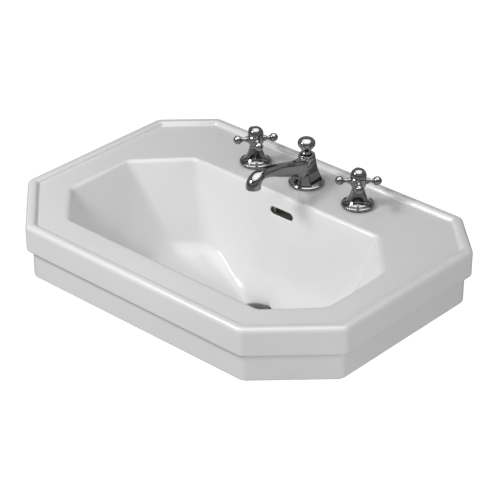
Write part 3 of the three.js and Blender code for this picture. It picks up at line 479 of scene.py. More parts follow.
# Crossed wire braid: two sets of slanting strands that cross each other.
def makeBraid():
    finish, shader, tones, sheen, bump = newFinish("steel_braid", braidLook)
    nodes, link = finish.node_tree.nodes, finish.node_tree.links.new
    place = nodes.new("ShaderNodeTexCoord")
    strands = []
    for slant in ((1, 1, 1), (1, -1, -1)):
        along = nodes.new("ShaderNodeVectorMath")
        along.operation = "DOT_PRODUCT"
        along.inputs[1].default_value = [braidLook["wires"] * part for part in slant]
        wave = nodes.new("ShaderNodeMath")
        wave.operation = "SINE"
        link(place.outputs["Object"], along.inputs[0])
        link(along.outputs["Value"], wave.inputs[0])
        strands.append(wave)
    over = nodes.new("ShaderNodeMath")
    over.operation = "MULTIPLY_ADD"
    over.inputs[2].default_value = 0.5
    link(strands[0].outputs["Value"], over.inputs[0])
    link(strands[1].outputs["Value"], over.inputs[1])
    over.use_clamp = True
    link(over.outputs["Value"], tones.inputs["Factor"])
    link(over.outputs["Value"], bump.inputs["Height"])
    return finish


glaze = makeGlaze()
chrome = newFinish("polished_chrome", chromeLook)[0]
# Waste flange and stopper: chrome toned near black, painted shade standing in for the dark drain seen in
# reflection.
wasteShadeTones = ((0.07, 0.07, 0.072), (0.11, 0.11, 0.112))
shadedWasteChrome = newFinish("waste_chrome_painted_shade", dict(chromeLook, tones=wasteShadeTones))[0]
brass = newFinish("turned_brass", brassLook)[0]
steel = newFinish("zinc_steel", steelLook)[0]
rubber = newFinish("black_rubber", rubberLook)[0]
plastic = newFinish("milk_plastic", plasticLook)[0]
braid = makeBraid()
finishOf = {"ceramic": glaze, "chrome": chrome, "brass": brass, "steel": steel,
            "rubber": rubber, "plastic": plastic, "braid": braid}
print("finishes made")


# ---- ceramic basin, drawn as rings of points from the waste hole out over the rim and back underneath

basin = {
    "frontCut": (115, 111), "rearCut": (79, 76), "cornerRadius": 15,
    "bandHeight": 48, "skirtHeight": 50.5, "skirtInset": 10, "wall": 13, "skirtRadius": 20,
    "lipWidth": 15, "lipSlope": 4, "deckThickness": 14,
    "bowlSide": 70, "bowlFront": 73, "bowlRear": 137.5, "bowlFrontCut": (74, 75), "bowlRearCut": (78, 83),
    "sideFall": 90, "frontFall": 53, "rearFall": 12.5, "footFrontCut": (42, 45), "footRearCut": (30, 60),
    "openingDrop": 9, "wallDrop": 139, "shell": 12,
    "edgeRounding": 9, "lipRounding": 9, "footRounding": 34, "bowlCorner": 18, "footCorner": 44,
    "lipCorner": 9, "bossRadius": 43, "bossHeight": 30, "seatRadius": 32, "seatDepth": 2.8, "cupRadius": 25.5,
    "cupDepth": 10.2, "holeRadius": 22,
}
bowlFoot = rimTop - basin["openingDrop"] - basin["wallDrop"]
holes = {"tapRadius": 14.5, "spoutRadius": 17.5, "spoutForward": 7, "studRadius": 7, "studSpacing": 280}
overflow = {"width": 50, "height": 14, "level": -38.5, "frontWall": 9, "channel": 10, "backWall": 8,
            "sideWall": 10, "flare": 2.6, "bossInset": 9.5, "outletDrop": 13.3, "outletHeight": 9,
            "bareShadeDepth": (5.5, 22), "bareShadeDrop": (25, 120)}
# Rough unglazed clay; its near-black tones are painted shade for the inside of the overflow channel.
bareClayShadeLook = dict(
    glazeLook, tones=((0.06, 0.055, 0.05), (0.10, 0.09, 0.085)), rough=(0.8, 0.95), bump=0.4,
)


def octagon(halfWidth, front, back, frontCut, rearCut):
    right = [(halfWidth, front + frontCut[1]), (halfWidth, back - rearCut[1]), (halfWidth - rearCut[0], back)]
    left = [(-x, y) for x, y in reversed(right)]
    near = [(-halfWidth + frontCut[0], front), (halfWidth - frontCut[0], front)]
    return np.array(right + left + near, float)


def insetOutline(outline, amount, backAmount=None):
    backSide = 2
    lines = []
    for side, start in enumerate(outline):
        ahead = outline[(side + 1) % len(outline)] - start
        normal = np.array([ahead[1], -ahead[0]]) / np.linalg.norm(ahead)
        shift = backAmount if side == backSide and backAmount is not None else amount
        lines.append((normal, normal @ start - shift))
    corners = []
    for side, (normal, offset) in enumerate(lines):
        lastNormal, lastOffset = lines[side - 1]
        corners.append(np.linalg.solve([lastNormal, normal], [lastOffset, offset]))
    return np.array(corners)


# Corner arcs and straight sides, always the same number of points.
def roundedRing(outline, radius, level, cornerSteps=6, sideSteps=4):
    ring = []
    count = len(outline)
    tangents = []
    for i, corner in enumerate(outline):
        toLast, toNext = outline[i - 1] - corner, outline[(i + 1) % count] - corner
        lastLength, nextLength = np.linalg.norm(toLast), np.linalg.norm(toNext)
        toLast, toNext = toLast / lastLength, toNext / nextLength
        half = math.acos(np.clip(toLast @ toNext, -1, 1)) / 2
        reach = min(radius / math.tan(half), 0.47 * min(lastLength, nextLength))
        middle = corner + (toLast + toNext) / np.linalg.norm(toLast + toNext) * reach / math.cos(half)
        tangents.append((corner + toLast * reach, corner + toNext * reach, middle, math.pi - 2 * half))
    for i, (start, end, middle, sweep) in enumerate(tangents):
        arm = start - middle
        for step in range(cornerSteps + 1):
            a = sweep * step / cornerSteps
            ring.append(middle + [arm[0] * math.cos(a) - arm[1] * math.sin(a),
                                  arm[0] * math.sin(a) + arm[1] * math.cos(a)])
        nextStart = tangents[(i + 1) % count][0]
        for step in range(1, sideSteps):
            ring.append(end + (nextStart - end) * step / sideSteps)
    return np.column_stack([np.array(ring), np.full(len(ring), level)])


def bowlOutline(share):
    def mixed(high, low):
        return tuple(a + (b - a) * share for a, b in zip(high, low))
    return octagon(
        basinHigh[0] - basin["bowlSide"] - basin["sideFall"] * share,
        basinLow[1] + basin["bowlFront"] + basin["frontFall"] * share,
        -basin["bowlRear"] - basin["rearFall"] * share,
        mixed(basin["bowlFrontCut"], basin["footFrontCut"]),
        mixed(basin["bowlRearCut"], basin["footRearCut"]),
    )


def rearWallAt(level):
    share = (rimTop - basin["openingDrop"] - level) / basin["wallDrop"]
    return -basin["bowlRear"] - basin["rearFall"] * share


def toward(corner, other, distance):
    way = other - corner
    length = np.linalg.norm(way, axis=1)[:, None]
    return corner + way * np.minimum(distance / np.maximum(length, 1e-6), 0.5)


# Rounds the path that every point takes from ring to ring.
def roundRings(keys, steps=6):
    rings = []
    for i, (corner, rounding) in enumerate(keys):
        if not rounding:
            rings.append(corner)
            continue
        start = toward(corner, keys[i - 1][0], rounding)
        end = toward(corner, keys[(i + 1) % len(keys)][0], rounding)
        for t in np.linspace(0, 1, steps + 1):
            rings.append((1 - t) ** 2 * start + 2 * t * (1 - t) * corner + t * t * end)
    return rings


def skinRings(name, rings, sharpAngle):
    return newMesh(name, np.vstack(rings), rowFaces(len(rings), len(rings[0]), looped=True), sharpAngle)


def basinRings():
    b = basin
    rim = octagon(basinHigh[0], basinLow[1], 0, b["frontCut"], b["rearCut"])
    skirt = insetOutline(rim, b["skirtInset"], 0)
    cavity = insetOutline(skirt, b["wall"])
    band = rimTop - b["bandHeight"]
    hem = band - b["skirtHeight"]
    underDeck = deckTop - b["deckThickness"]
    edgeShare = (rimTop - b["openingDrop"] - deckTop) / b["wallDrop"]
    footRing = roundedRing(bowlOutline(1), b["footCorner"], bowlFoot)
    edgeRing = roundedRing(bowlOutline(edgeShare), b["bowlCorner"], deckTop)
    angles = np.arctan2(footRing[:, 1] - drainY, footRing[:, 0] - drainX)

    def circle(radius, level):
        return np.column_stack([drainX + radius * np.cos(angles), drainY + radius * np.sin(angles),
                                np.full(len(angles), level)])

    bossBottom = floorTop - b["bossHeight"]
    seat = floorTop - b["seatDepth"]
    cup = floorTop - b["cupDepth"]
    mouth = circle(b["seatRadius"] + 0.5, floorTop)
    shellDrop = 0.8 * b["shell"]
    shellFoot = roundedRing(insetOutline(bowlOutline(1), -b["shell"]), b["footCorner"], bowlFoot - shellDrop)
    shellMouth = circle(b["bossRadius"] + 2.5, floorTop - shellDrop)
    keys = [
        (circle(b["holeRadius"], bossBottom), 1),
        (circle(b["holeRadius"], cup), 0.4),
        (circle(b["cupRadius"], cup), 0.4),
        (circle(b["cupRadius"], seat), 0.4),
        (circle(b["seatRadius"], seat), 0.4),
        (mouth, 1.2),
    ]
    keys += [(mouth + (footRing - mouth) * share, 0) for share in (0.2, 0.4, 0.6)]
    keys += [
        (footRing, b["footRounding"]),
        ((footRing + edgeRing) / 2, 0),
        (edgeRing, b["edgeRounding"]),
        (roundedRing(insetOutline(rim, b["lipWidth"] + b["lipSlope"]), b["lipCorner"], deckTop), 3),
        (roundedRing(insetOutline(rim, b["lipWidth"]), b["lipCorner"], rimTop), 5),
        (roundedRing(rim, b["cornerRadius"], rimTop), b["lipRounding"]),
        (roundedRing(rim, b["cornerRadius"], band), 3.5),
        (roundedRing(skirt, b["skirtRadius"], band), 1),
        (roundedRing(skirt, b["skirtRadius"], hem), 4),
        (roundedRing(cavity, b["skirtRadius"], hem), 3),
        (roundedRing(cavity, b["skirtRadius"], underDeck), 6),
        (roundedRing(insetOutline(bowlOutline(0), -b["shell"]), b["shell"], underDeck), 8),
        (shellFoot, b["footRounding"]),
        (shellMouth, 4),
        (circle(b["bossRadius"], bossBottom), 3),
    ]
    return roundRings(keys)


# Solid lump down the back of the bowl, from the deck to the waste, that holds the channel.
def overflowDuct():
    o, b = overflow, basin
    top, bottom = deckTop - b["deckThickness"], floorTop - b["bossHeight"]
    back = o["frontWall"] + o["channel"] + o["backWall"]
    bossBack = drainY + b["bossRadius"] - o["bossInset"]
    outline = [
        (rearWallAt(top) + 5, top), (rearWallAt(bowlFoot) + 6, bowlFoot, 40),
        (drainY + b["seatRadius"] + 5, floorTop - 6), (drainY + b["seatRadius"] + 1, bottom),
        (bossBack + back, bottom, 4), (bossBack + back, floorTop - 2.5, 8),
        (rearWallAt(bowlFoot) + back, bowlFoot, 12), (rearWallAt(top) + back, top),
    ]
    return sidePrism("overflow_duct", outline, o["width"] + 2 * o["sideWall"])


def overflowChannel():
    o, b = overflow, basin
    top = rimTop + o["level"] + o["height"] / 2 + 3
    bossBack = drainY + b["bossRadius"] - o["bossInset"]
    inner = drainY + b["holeRadius"] - 6
    front, back = o["frontWall"], o["frontWall"] + o["channel"]
    high = floorTop - o["outletDrop"]
    low = high - o["outletHeight"]
    outline = [
        (rearWallAt(top) + front, top), (rearWallAt(bowlFoot) + front, bowlFoot),
        (bossBack + front, floorTop - 2),
        (bossBack + front, high), (inner, high), (inner, low), (bossBack + back, low),
        (bossBack + back, floorTop - 2), (rearWallAt(bowlFoot) + back, bowlFoot),
        (rearWallAt(top) + back, top),
    ]
    return sidePrism("overflow_channel", outline, o["width"] + 4)


# The slot's cutter: a long round-ended bar that flares towards the bowl, so that its mouth is rounded.
def slotCutter():
    o = overflow
    level = rimTop + o["level"]
    surface = rearWallAt(level)
    straight = (o["width"] - o["height"]) / 2
    rows = []
    for share in np.linspace(0, 1, 7):
        grow = o["flare"] * (1 - math.sin(share * math.pi / 2))
        rows.append((surface - 0.4 + o["flare"] * share, o["height"] / 2 + grow))
    rows.insert(0, (surface - 8, rows[0][1]))
    rows.append((surface + o["frontWall"] + o["channel"] / 2, o["height"] / 2))
    points = []
    arc = np.linspace(-math.pi / 2, math.pi / 2, 13)
    for y, radius in rows:
        points += [(straight + radius * math.cos(a), y, level + radius * math.sin(a)) for a in arc]
        points += [(-straight - radius * math.cos(a), y, level - radius * math.sin(a)) for a in arc]
    return newMesh("overflow_slot", points, rowFaces(len(rows), 2 * len(arc), capped=True))


# The overflow's channel is bare clay, rough, and toned near black as painted shade: the faces behind the rear
# wall, beside the slot and below it.
def bareShadedChannel(body):
    body.data.materials.append(newFinish("bare_clay_painted_shade", bareClayShadeLook)[0])
    reach = overflow["width"] / 2 + 4
    near, far = overflow["bareShadeDepth"]
    least, most = overflow["bareShadeDrop"]
    for face in body.data.polygons:
        x, y, z = face.center / mm
        if abs(x) < reach and near < y - rearWallAt(z) < far and rimTop - most < z < rimTop - least:
            face.material_index = 1


def makeBasin():
    body = skinRings("washbasin", basinRings(), 28)
    weld(body, overflowDuct())
    carve(body, overflowChannel(), slotCutter())
    deckLow, deckHigh = deckTop - basin["deckThickness"] - 6, deckTop + 4
    for node in ("hot_escutcheon", "cold_escutcheon"):
        carve(body, bar("tap_hole", holes["tapRadius"], deckLow, deckHigh, (*axisOf(node), 0)))
    spoutHole = (spoutX, spoutY - holes["spoutForward"], 0)
    carve(body, bar("spout_hole", holes["spoutRadius"], deckLow, deckHigh, spoutHole))
    for side in (-1, 1):
        place = (side * holes["studSpacing"] / 2, 0, 0)
        carve(body, bar("fixing_hole", holes["studRadius"], -basin["wall"] - 5, 4, place, (0, 1, 0)))
    evenNormals(body)
    settle(body, "fixed", "ceramic", glaze, "basin")
    bareShadedChannel(body)


makeBasin()
print("basin made")


# ---- spout: a flared column, a flat-sided arm that rises and turns down into a round nozzle

spout = {
    "footRadius": 31, "collarRadius": 13.7, "height": 56.5, "recessRadius": 9.5, "recessDepth": 6,
    "reach": 133.5, "nozzleEnd": 43.5, "nozzleBore": 11.4, "foot": 1.8, "rodBore": 4.2, "voxel": 0.62,
    "shankBore": 7.8, "shankForward": 15, "shankTop": 14.3,
    "sideLow": 8.0, "sideHigh": 51.0, "sideNear": 11.6, "sideSpread": 12.0, "sideCurve": 2.2,
    "cutWidth": 20,
}
# Sections of the arm: top point, bottom point, width and roundness, from the column to the nozzle's end.
armSections = [
    ((0, 50), (0, 12), 24, 0.2),
    ((-12, 52.5), (-14, 13), 23, 0.2),
    ((-20, 52.3), (-22.5, 18), 20, 0.1),
    ((-32, 53.3), (-30, 26), 17.5, 0.0),
    ((-45, 56.5), (-42, 31.2), 17, 0.0),
    ((-60, 60.7), (-55, 35.6), 17, 0.0),
    ((-78, 65.2), (-74, 43), 17, 0.0),
    ((-98, 68.7), (-92, 50.6), 17.5, 0.05),
    ((-112, 70.6), (-105.5, 54.2), 19, 0.15),
    ((-125, 69.6), (-113, 55.3), 21.3, 0.4),
    ((-135.5, 65), (-118.3, 54), 23.6, 0.7),
    ((-142.5, 58), (-120.5, 51.8), 25, 0.92),
    ((-146, 51), (-120.8, 49), 25.4, 1.0),
    ((-146.2, 43.5), (-120.8, 43.5), 25.4, 1.0),
]


# Points round a section, from -0.5 to 0.5 each way: a chamfered box that turns into a circle.
def sectionShape(roundness, width, height, count=64):
    boxShape = filletPath([
        (-0.30, 0.5, 0), (0.30, 0.5, 0), (0.5, 0.5 - 4.5 / height, 0), (0.5, -0.5 + 6 / height, 0),
        (0.42, -0.5, 0), (-0.42, -0.5, 0), (-0.5, -0.5 + 6 / height, 0), (-0.5, 0.5 - 4.5 / height, 0),
    ])
    corners = np.array(boxShape + boxShape[:1])
    shape = []
    for angle in np.linspace(0, 2 * math.pi, count, endpoint=False):
        ray = np.array([math.cos(angle), math.sin(angle)])
        for a, b in zip(corners[:-1], corners[1:]):
            edge = b - a
            cross = ray[0] * edge[1] - ray[1] * edge[0]
            if abs(cross) < 1e-9:
                continue
            far = (a[0] * edge[1] - a[1] * edge[0]) / cross
            along = (a[0] * ray[1] - a[1] * ray[0]) / cross
            if far > 0 and -1e-9 <= along <= 1 + 1e-9:
                shape.append(ray * (far * (1 - roundness) + 0.5 * roundness))
                break
    return np.array(shape)


def spoutArm():
    keys = [np.array([*top, *bottom, width, roundness], float)
            for top, bottom, width, roundness in armSections]
    rows = smoothRows(keys, 6)
    points, size = [], 64
    for topY, topZ, bottomY, bottomZ, width, roundness in rows:
        top, bottom = np.array([topY, topZ]), np.array([bottomY, bottomZ])
        shape = sectionShape(min(max(roundness, 0), 1), width, np.linalg.norm(top - bottom), size)
        for across, up in shape:
            y, z = (top + bottom) / 2 + (top - bottom) * up
            points.append((spoutX + across * width, spoutY + y, deckTop + z))
    return newMesh("arm", points, rowFaces(len(rows), size, capped=True))


def makeSpout():
    s = spout
    at = (spoutX, spoutY, deckTop)
    foot = s["foot"]
    column = turned("spout", [
        (0, foot), (s["footRadius"] - 0.4, foot, 0.4), (s["footRadius"], foot + 1.2, 1),
        (s["footRadius"] - 0.6, foot + 3.4, 1.2), (29.4, foot + 4.2, 1), (28.6, foot + 3.8, 0.8),
        (27.6, 8.6, 1.4), (25.4, 13, 8), (22, 20, 20), (19, 27, 30), (16.8, 36, 40), (15, 47, 30),
        (14.3, 52.6, 1), (13.9, 53.4, 0.6), (14.1, 54.6, 0.8), (s["collarRadius"], s["height"], 1),
        (0, s["height"]),
    ], at, segments=96)
    for side in (-1, 1):
        levels = np.linspace(s["sideLow"], s["sideHigh"], 30)
        reach = s["sideNear"] + s["sideSpread"] * np.linspace(1, 0, 30) ** s["sideCurve"]
        half = s["footRadius"] - 1
        outline = [(-half, z) for z in levels] + [(half, z) for z in reversed(levels)]
        wedge = sidePrism("flat", outline, 2 * s["cutWidth"])
        for vertex in wedge.data.vertices:
            vertex.co.x += side * (s["cutWidth"] + np.interp(vertex.co.z / mm, levels, reach)) * mm
        wedge.data.transform(Matrix.Translation(Vector(at) * mm))
        carve(column, wedge)
    weld(column, spoutArm())
    softened(column, s["voxel"], 7)
    recess = [(0, s["height"] - s["recessDepth"]), (s["recessRadius"], s["height"] - s["recessDepth"], 0.4),
              (s["recessRadius"], s["height"] - 0.6), (s["recessRadius"] + 1.2, s["height"] + 0.6),
              (s["recessRadius"] + 1.2, s["height"] + 4), (0, s["height"] + 4)]
    rodAt = (spoutX, spoutY - rodForward, deckTop)
    shankAt = (spoutX, spoutY - s["shankForward"], deckTop)
    nozzleAt = (spoutX, spoutY - s["reach"], deckTop)
    carve(
        column,
        turned("recess", recess, rodAt),
        bar("guide_bore", s["rodBore"], -2, s["height"], rodAt),
        bar("shank_bore", s["shankBore"], 0, s["shankTop"], shankAt),
        bar("nozzle_bore", s["nozzleBore"], s["nozzleEnd"] - 3, s["nozzleEnd"] + 9, nozzleAt),
    )
    tidyMesh(column, 38, outward=False)
    evenNormals(column)
    return settle(column, "fixed", "chrome", chrome, "spout_body")


makeSpout()
print("spout made")


# ---- cross handles, their domes and the bell-shaped escutcheons

handle = {
    "hubRadius": 13.6, "neckRadius": 10.4, "top": 54, "armHeight": 46.5, "ballReach": 31, "ballRadius": 7.5,
    "domeHeight": 14.2, "domeRadius": 13.5, "pocketRadius": 9.5, "pocketDepth": 5.3, "screwBore": 4.3,
    "stemBore": 7.9,
}
escutcheonShape = {"low": 2.2, "radius": 28, "grooveRadius": 22.4, "stemRadius": 10.2, "height": 32.5}


def handleArm(at, turn):
    h = handle
    ball, reach = h["ballRadius"], h["ballReach"]
    profile = [(0, 6), (4.9, 6), (4.9, 14.4, 0.6), (5.4, 15.2, 0.5), (5.2, 16.6, 0.6), (4.3, 17.3, 0.6),
               (3.3, 20.2, 6), (3.1, 22.2, 1), (4.1, 23, 0.5), (4.1, 24.2, 0.5), (3.3, 24.6, 0.2)]
    first = math.asin(3.3 / ball)
    for step in range(1, 19):
        a = first + (math.pi * 0.93 - first) * step / 18
        profile.append((ball * math.sin(a), reach - ball * math.cos(a)))
    profile += [(1.5, reach + ball * 1.03, 0.4), (0, reach + ball * 1.05)]
    direction = (math.cos(turn), math.sin(turn), 0)
    return turned("arm", profile, at, direction, segments=40)


def makeHandle(name, turn):
    h = handle
    x, y = axisOf(name + "_escutcheon")
    low = escutcheonShape["height"] + 0.5
    pocketFloor = h["top"] - h["pocketDepth"]
    hub = turned(name + "_handle", [
        (h["stemBore"], low, 0.3), (h["neckRadius"], low, 0.5), (h["neckRadius"] + 0.2, low + 1.6, 0.6),
        (h["neckRadius"] - 0.4, low + 2.6, 0.6), (h["hubRadius"] - 0.8, low + 5.8, 3),
        (h["hubRadius"], low + 8.2, 1.5), (h["hubRadius"], h["top"] - 1.6, 0.8),
        (h["hubRadius"] - 1.2, h["top"], 0.6), (h["pocketRadius"], h["top"], 0.3),
        (h["pocketRadius"], pocketFloor), (h["screwBore"], pocketFloor), (h["screwBore"], low + 3),
        (h["stemBore"], low + 3),
    ], (x, y, deckTop), segments=72, closed=True)
    for quarter in range(4):
        arm = handleArm((x, y, deckTop + h["armHeight"]), math.radians(turn) + quarter * math.pi / 2)
        weld(hub, arm)
    pocket = bar("pocket", h["pocketRadius"], h["top"] - 4.9, h["top"] + 2, (x, y, deckTop))
    carve(hub, pocket)
    evenNormals(hub)
    settle(hub, name + "_handle", "chrome", chrome, name + "_cross_handle")


def makeDome(name):
    h = handle
    x, y = axisOf(name + "_escutcheon")
    low, radius = h["top"] + gap, h["domeRadius"]
    profile = [(6, h["top"] - 3.5, 0.2), (9.2, h["top"] - 3.5, 0.3), (9.2, low), (radius - 0.8, low, 0.3),
               (radius, low + 0.9, 0.5)]
    for step in range(1, 18):
        a = math.pi / 2 * step / 18
        profile.append((radius * math.cos(a) ** 0.8, low + 0.9 + math.sin(a) * (h["domeHeight"] - 0.9)))
    profile += [(0, low + h["domeHeight"]), (0, low + 1), (6, low + 1)]
    dome = turned(name + "_dome", profile, (x, y, deckTop), closed=True)
    settle(dome, name + "_handle", "chrome", chrome, name + "_dome_cap")


def makeEscutcheon(name):
    e = escutcheonShape
    x, y = axisOf(name + "_escutcheon")
    low = e["low"]
    shell = turned(name + "_bell", [
        (13.5, low), (e["radius"] - 0.6, low, 0.4), (e["radius"], low + 1.5, 0.9),
        (e["radius"] - 0.6, low + 3.4, 1), (e["radius"] - 2.2, low + 4.4, 0.9),
        (e["grooveRadius"] + 1.6, low + 3.7, 0.8),
        (e["grooveRadius"] + 0.4, low + 2.9, 0.5), (e["grooveRadius"] - 0.4, low + 3.1, 0.4),
        (e["grooveRadius"] - 0.8, low + 6, 0.9), (19.6, low + 7.6, 4), (16.6, low + 11.4, 8), (13.3, 22, 16),
        (11.3, 28, 10), (e["stemRadius"] + 0.2, e["height"] - 1.6, 0.8),
        (e["stemRadius"] - 0.4, e["height"], 0.4),
        (8.3, e["height"], 0.3), (8.3, 24), (14.9, 13.3), (14.9, 6), (13.5, 6),
    ], (x, y, deckTop), segments=96, closed=True)
    settle(shell, "fixed", "chrome", chrome, name + "_escutcheon")


handleTurns = {"hot": 52, "cold": 41.5}  # degrees that each cross stands turned at rest
for side, turn in handleTurns.items():
    makeHandle(side, turn)
    makeDome(side)
    makeEscutcheon(side)
print("handles made")


# ---- lift knob, rod and the pop-up stopper in its flange

knob = {"bottom": 52, "neckRadius": 7.2, "waistRadius": 7.8, "waist": 62.5, "radius": 15, "middle": 76,
        "top": 87}


def makeKnob():
    k = knob
    at = (*axisOf("lift_knob"), deckTop)
    piece = turned("lift_ball", [
        (2.8, k["bottom"], 0.2), (k["neckRadius"], k["bottom"], 0.5), (k["neckRadius"], k["waist"] - 5, 0.5),
        (k["waistRadius"] + 0.9, k["waist"] - 4.2, 0.6), (k["waistRadius"] + 0.9, k["waist"] - 2.8, 0.6),
        (k["waistRadius"] - 0.3, k["waist"] - 2, 0.5), (k["waistRadius"], k["waist"] + 0.6, 1.5),
        (9.8, k["waist"] + 4.2, 8), (12.9, k["middle"] - 5.4, 8), (14.8, k["middle"] - 1.8, 6),
        (k["radius"], k["middle"] + 1.6, 6), (14.3, k["middle"] + 4.8, 7), (11.2, k["middle"] + 8.2, 8),
        (5.8, k["top"] - 0.7, 8), (0, k["top"]),
        (0, k["bottom"] + 9), (2.8, k["bottom"] + 9),
    ], at, segments=96, closed=True, stepAngle=8)
    settle(piece, "lift_assembly", "chrome", chrome, "lift_knob")


# Heights are from the bowl's floor.
waste = {"radius": 31.5, "thickness": 2.5, "cupRadius": 23.4, "cupDepth": 8.3, "cupWall": 1.6,
         "throatRadius": 18.3, "throatWall": 1.5, "throatLength": 16}


def makeFlange():
    w = waste
    at = (drainX, drainY, floorTop)
    cupOuter, cupBottom = w["cupRadius"] + w["cupWall"], -w["cupDepth"] - w["cupWall"]
    throatOuter = w["throatRadius"] + w["throatWall"]
    flange = turned("waste_flange", [
        (w["throatRadius"], -w["throatLength"], 0.2), (throatOuter, -w["throatLength"], 0.2),
        (throatOuter, cupBottom), (cupOuter, cupBottom, 0.4), (cupOuter, -w["thickness"]),
        (w["radius"], -w["thickness"], 0.2), (w["radius"], -1.3, 0.4), (w["radius"] - 0.9, -0.5, 0.8),
        (w["radius"] - 3.2, -0.3, 2), (cupOuter, -1.2, 2), (w["cupRadius"], -w["thickness"] - 0.2, 0.6),
        (w["cupRadius"], -w["cupDepth"], 0.8), (w["throatRadius"], -w["cupDepth"], 0.5),
    ], at, segments=96, closed=True)
    settle(flange, "fixed", "chrome", shadedWasteChrome, "drain_flange")


plug = {"radius": 22.8, "rimLow": 2.8, "rimHigh": 4.6, "top": 8.5, "neckRadius": 14.7, "neckLow": -0.7,
        "stemRadius": 5, "finReach": 17.1, "finWidth": 1.6, "finLow": -22, "eyeRadius": 3.7, "eyeRise": 9,
        "sealInner": 15, "sealOuter": 21, "sealLow": 0.3}


def makeStopper():
    p = plug
    at = (drainX, drainY, floorTop)
    low = boxOf("stopper")[0][2]
    cap = turned("plug", [
        (0, low - floorTop), (p["stemRadius"], low - floorTop, 0.8), (p["stemRadius"], p["neckLow"], 1),
        (p["neckRadius"], p["neckLow"], 0.3), (p["neckRadius"], p["rimLow"]),
        (p["radius"] - 0.6, p["rimLow"], 0.3), (p["radius"], p["rimLow"] + 0.8, 0.5),
        (p["radius"], p["rimHigh"], 0.7),
        (p["radius"] - 3.2, p["top"] - 2.1, 14), (p["radius"] * 0.55, p["top"] - 0.7, 30), (0, p["top"]),
    ], at, segments=96)
    for turn in (math.pi / 4, -math.pi / 4):
        half = p["finWidth"] / 2
        corner = (p["finReach"], half, p["neckLow"] - 0.3)
        fin = boxPiece("fin", (-p["finReach"], -half, p["finLow"]), corner, 0.3)
        fin.data.transform(Matrix.Translation(Vector(at) * mm) @ Matrix.Rotation(turn, 4, "Z"))
        weld(cap, fin)
    carve(cap, bar("eye", p["eyeRadius"], -12, 12, (drainX, drainY, low + p["eyeRise"]), (0, 1, 0)))
    settle(cap, "stopper_assembly", "chrome", shadedWasteChrome, "stopper")
    seal = sleeve("plug_seal", p["sealInner"], p["sealOuter"], p["sealLow"], p["rimLow"] - gap, at, ease=0.7)
    settle(seal, "stopper_assembly", "rubber", rubber, "stopper_seal")


makeKnob()
makeFlange()
makeStopper()
print("pop-up made")


# ---- nuts under the deck and the bowl, with turned chamfers

# Bore radius of each nut.
nutBores = {"hot_lock_nut": 13.5, "cold_lock_nut": 13.5, "spout_lock_nut": 7.8, "drain_lock_nut": 21.3}


def makeNut(node, bore):
    low, high = boxOf(node)
    middle, half = (low + high) / 2, (high - low) / 2
    entry = next(e for e in frame["record"]["subparts"] if e["node"] == node)
    nut = hexNut(node + "_turned", min(half[:2]), -half[2], half[2], bore)
    if half[0] > half[1]:
        nut.data.transform(Matrix.Rotation(math.pi / 2, 4, "Z"))
    nut.data.transform(Matrix.Translation(Vector(middle) * mm))
    settle(nut, "fixed", entry["material_slot"], finishOf[entry["material_slot"]], node)


for node, bore in nutBores.items():
    makeNut(node, bore)
print("nuts made")


# ---- everything that keeps its own shape gets its finish

for entry in frame["record"]["subparts"]:
    node = frame["nodes"][entry["node"]]
    if not node.hide_render:
        node.data.materials.clear()
        node.data.materials.append(finishOf[entry["material_slot"]])


# ---- floor, lights and camera

stage = {"rimHeight": 0.85, "size": 30.0, "floorColour": (0.45, 0.45, 0.45), "floorGlow": 1.25,
         "floorMix": 0.85}


def makeFloor():
    bpy.ops.mesh.primitive_plane_add(size=stage["size"], location=(0, 0, cadHigh.z - stage["rimHeight"]))
    floor = bpy.context.object
    floor.name = "floor"
    paint = bpy.data.materials.new("pale_floor")
    paint.use_nodes = True
    nodes, link = paint.node_tree.nodes, paint.node_tree.links.new
    shader = nodes["Principled BSDF"]
    shader.inputs["Base Color"].default_value = (*stage["floorColour"], 1)
    shader.inputs["Roughness"].default_value = 0.9
    shader.inputs["Specular IOR Level"].default_value = 0.0
    glow = nodes.new("ShaderNodeEmission")
    glow.inputs["Color"].default_value = (1, 1, 1, 1)
    glow.inputs["Strength"].default_value = stage["floorGlow"]
    path = nodes.new("ShaderNodeLightPath")
    seen = nodes.new("ShaderNodeMixShader")
    lit = nodes.new("ShaderNodeMixShader")
    lit.inputs["Fac"].default_value = stage["floorMix"]
    link(shader.outputs["BSDF"], lit.inputs[1])
    link(glow.outputs["Emission"], lit.inputs[2])
    link(path.outputs["Is Camera Ray"], seen.inputs["Fac"])
    link(shader.outputs["BSDF"], seen.inputs[1])
    link(lit.outputs["Shader"], seen.inputs[2])
    link(seen.outputs["Shader"], nodes["Material Output"].inputs["Surface"])
    floor.data.materials.append(paint)


lamps = {
    "key": {"from": (-0.9, -1.6, 1.4), "size": (0.55, 0.3), "watts": 20, "mirrored": True},
    "front": {"from": (0.3, -2.0, 1.3), "size": (0.8, 0.4), "watts": 9, "mirrored": False},
    "fill": {"from": (2.2, -0.9, 0.55), "size": (0.4, 0.9), "watts": 13, "mirrored": False},
}


def makeLamps():
    target = Vector((0, -0.25, cadHigh.z))
    for name, lamp in lamps.items():
        data = bpy.data.lights.new(name, "AREA")
        data.shape = "RECTANGLE"
        data.size, data.size_y = lamp["size"]
        data.energy = lamp["watts"]
        light = bpy.data.objects.new(name, data)
        light.location = lamp["from"]
        light.visible_glossy = lamp["mirrored"]
        light.rotation_mode = "QUATERNION"
        light.rotation_quaternion = (target - light.location).to_track_quat("-Z", "Y")
        scene.collection.objects.link(light)


# Height of the reflected room and how bright it is there: grey walls, two dark flags, a bright ceiling.
roomBands = [(0.02, 0.10), (0.14, 0.09), (0.18, 0.01), (0.27, 0.01), (0.33, 0.13), (0.55, 0.11), (0.60, 0.01),
             (0.70, 0.02), (0.80, 0.7), (0.98, 1.0)]
roomLight = {"soft": 0.31, "mirrored": 3.2, "seen": 1.0}


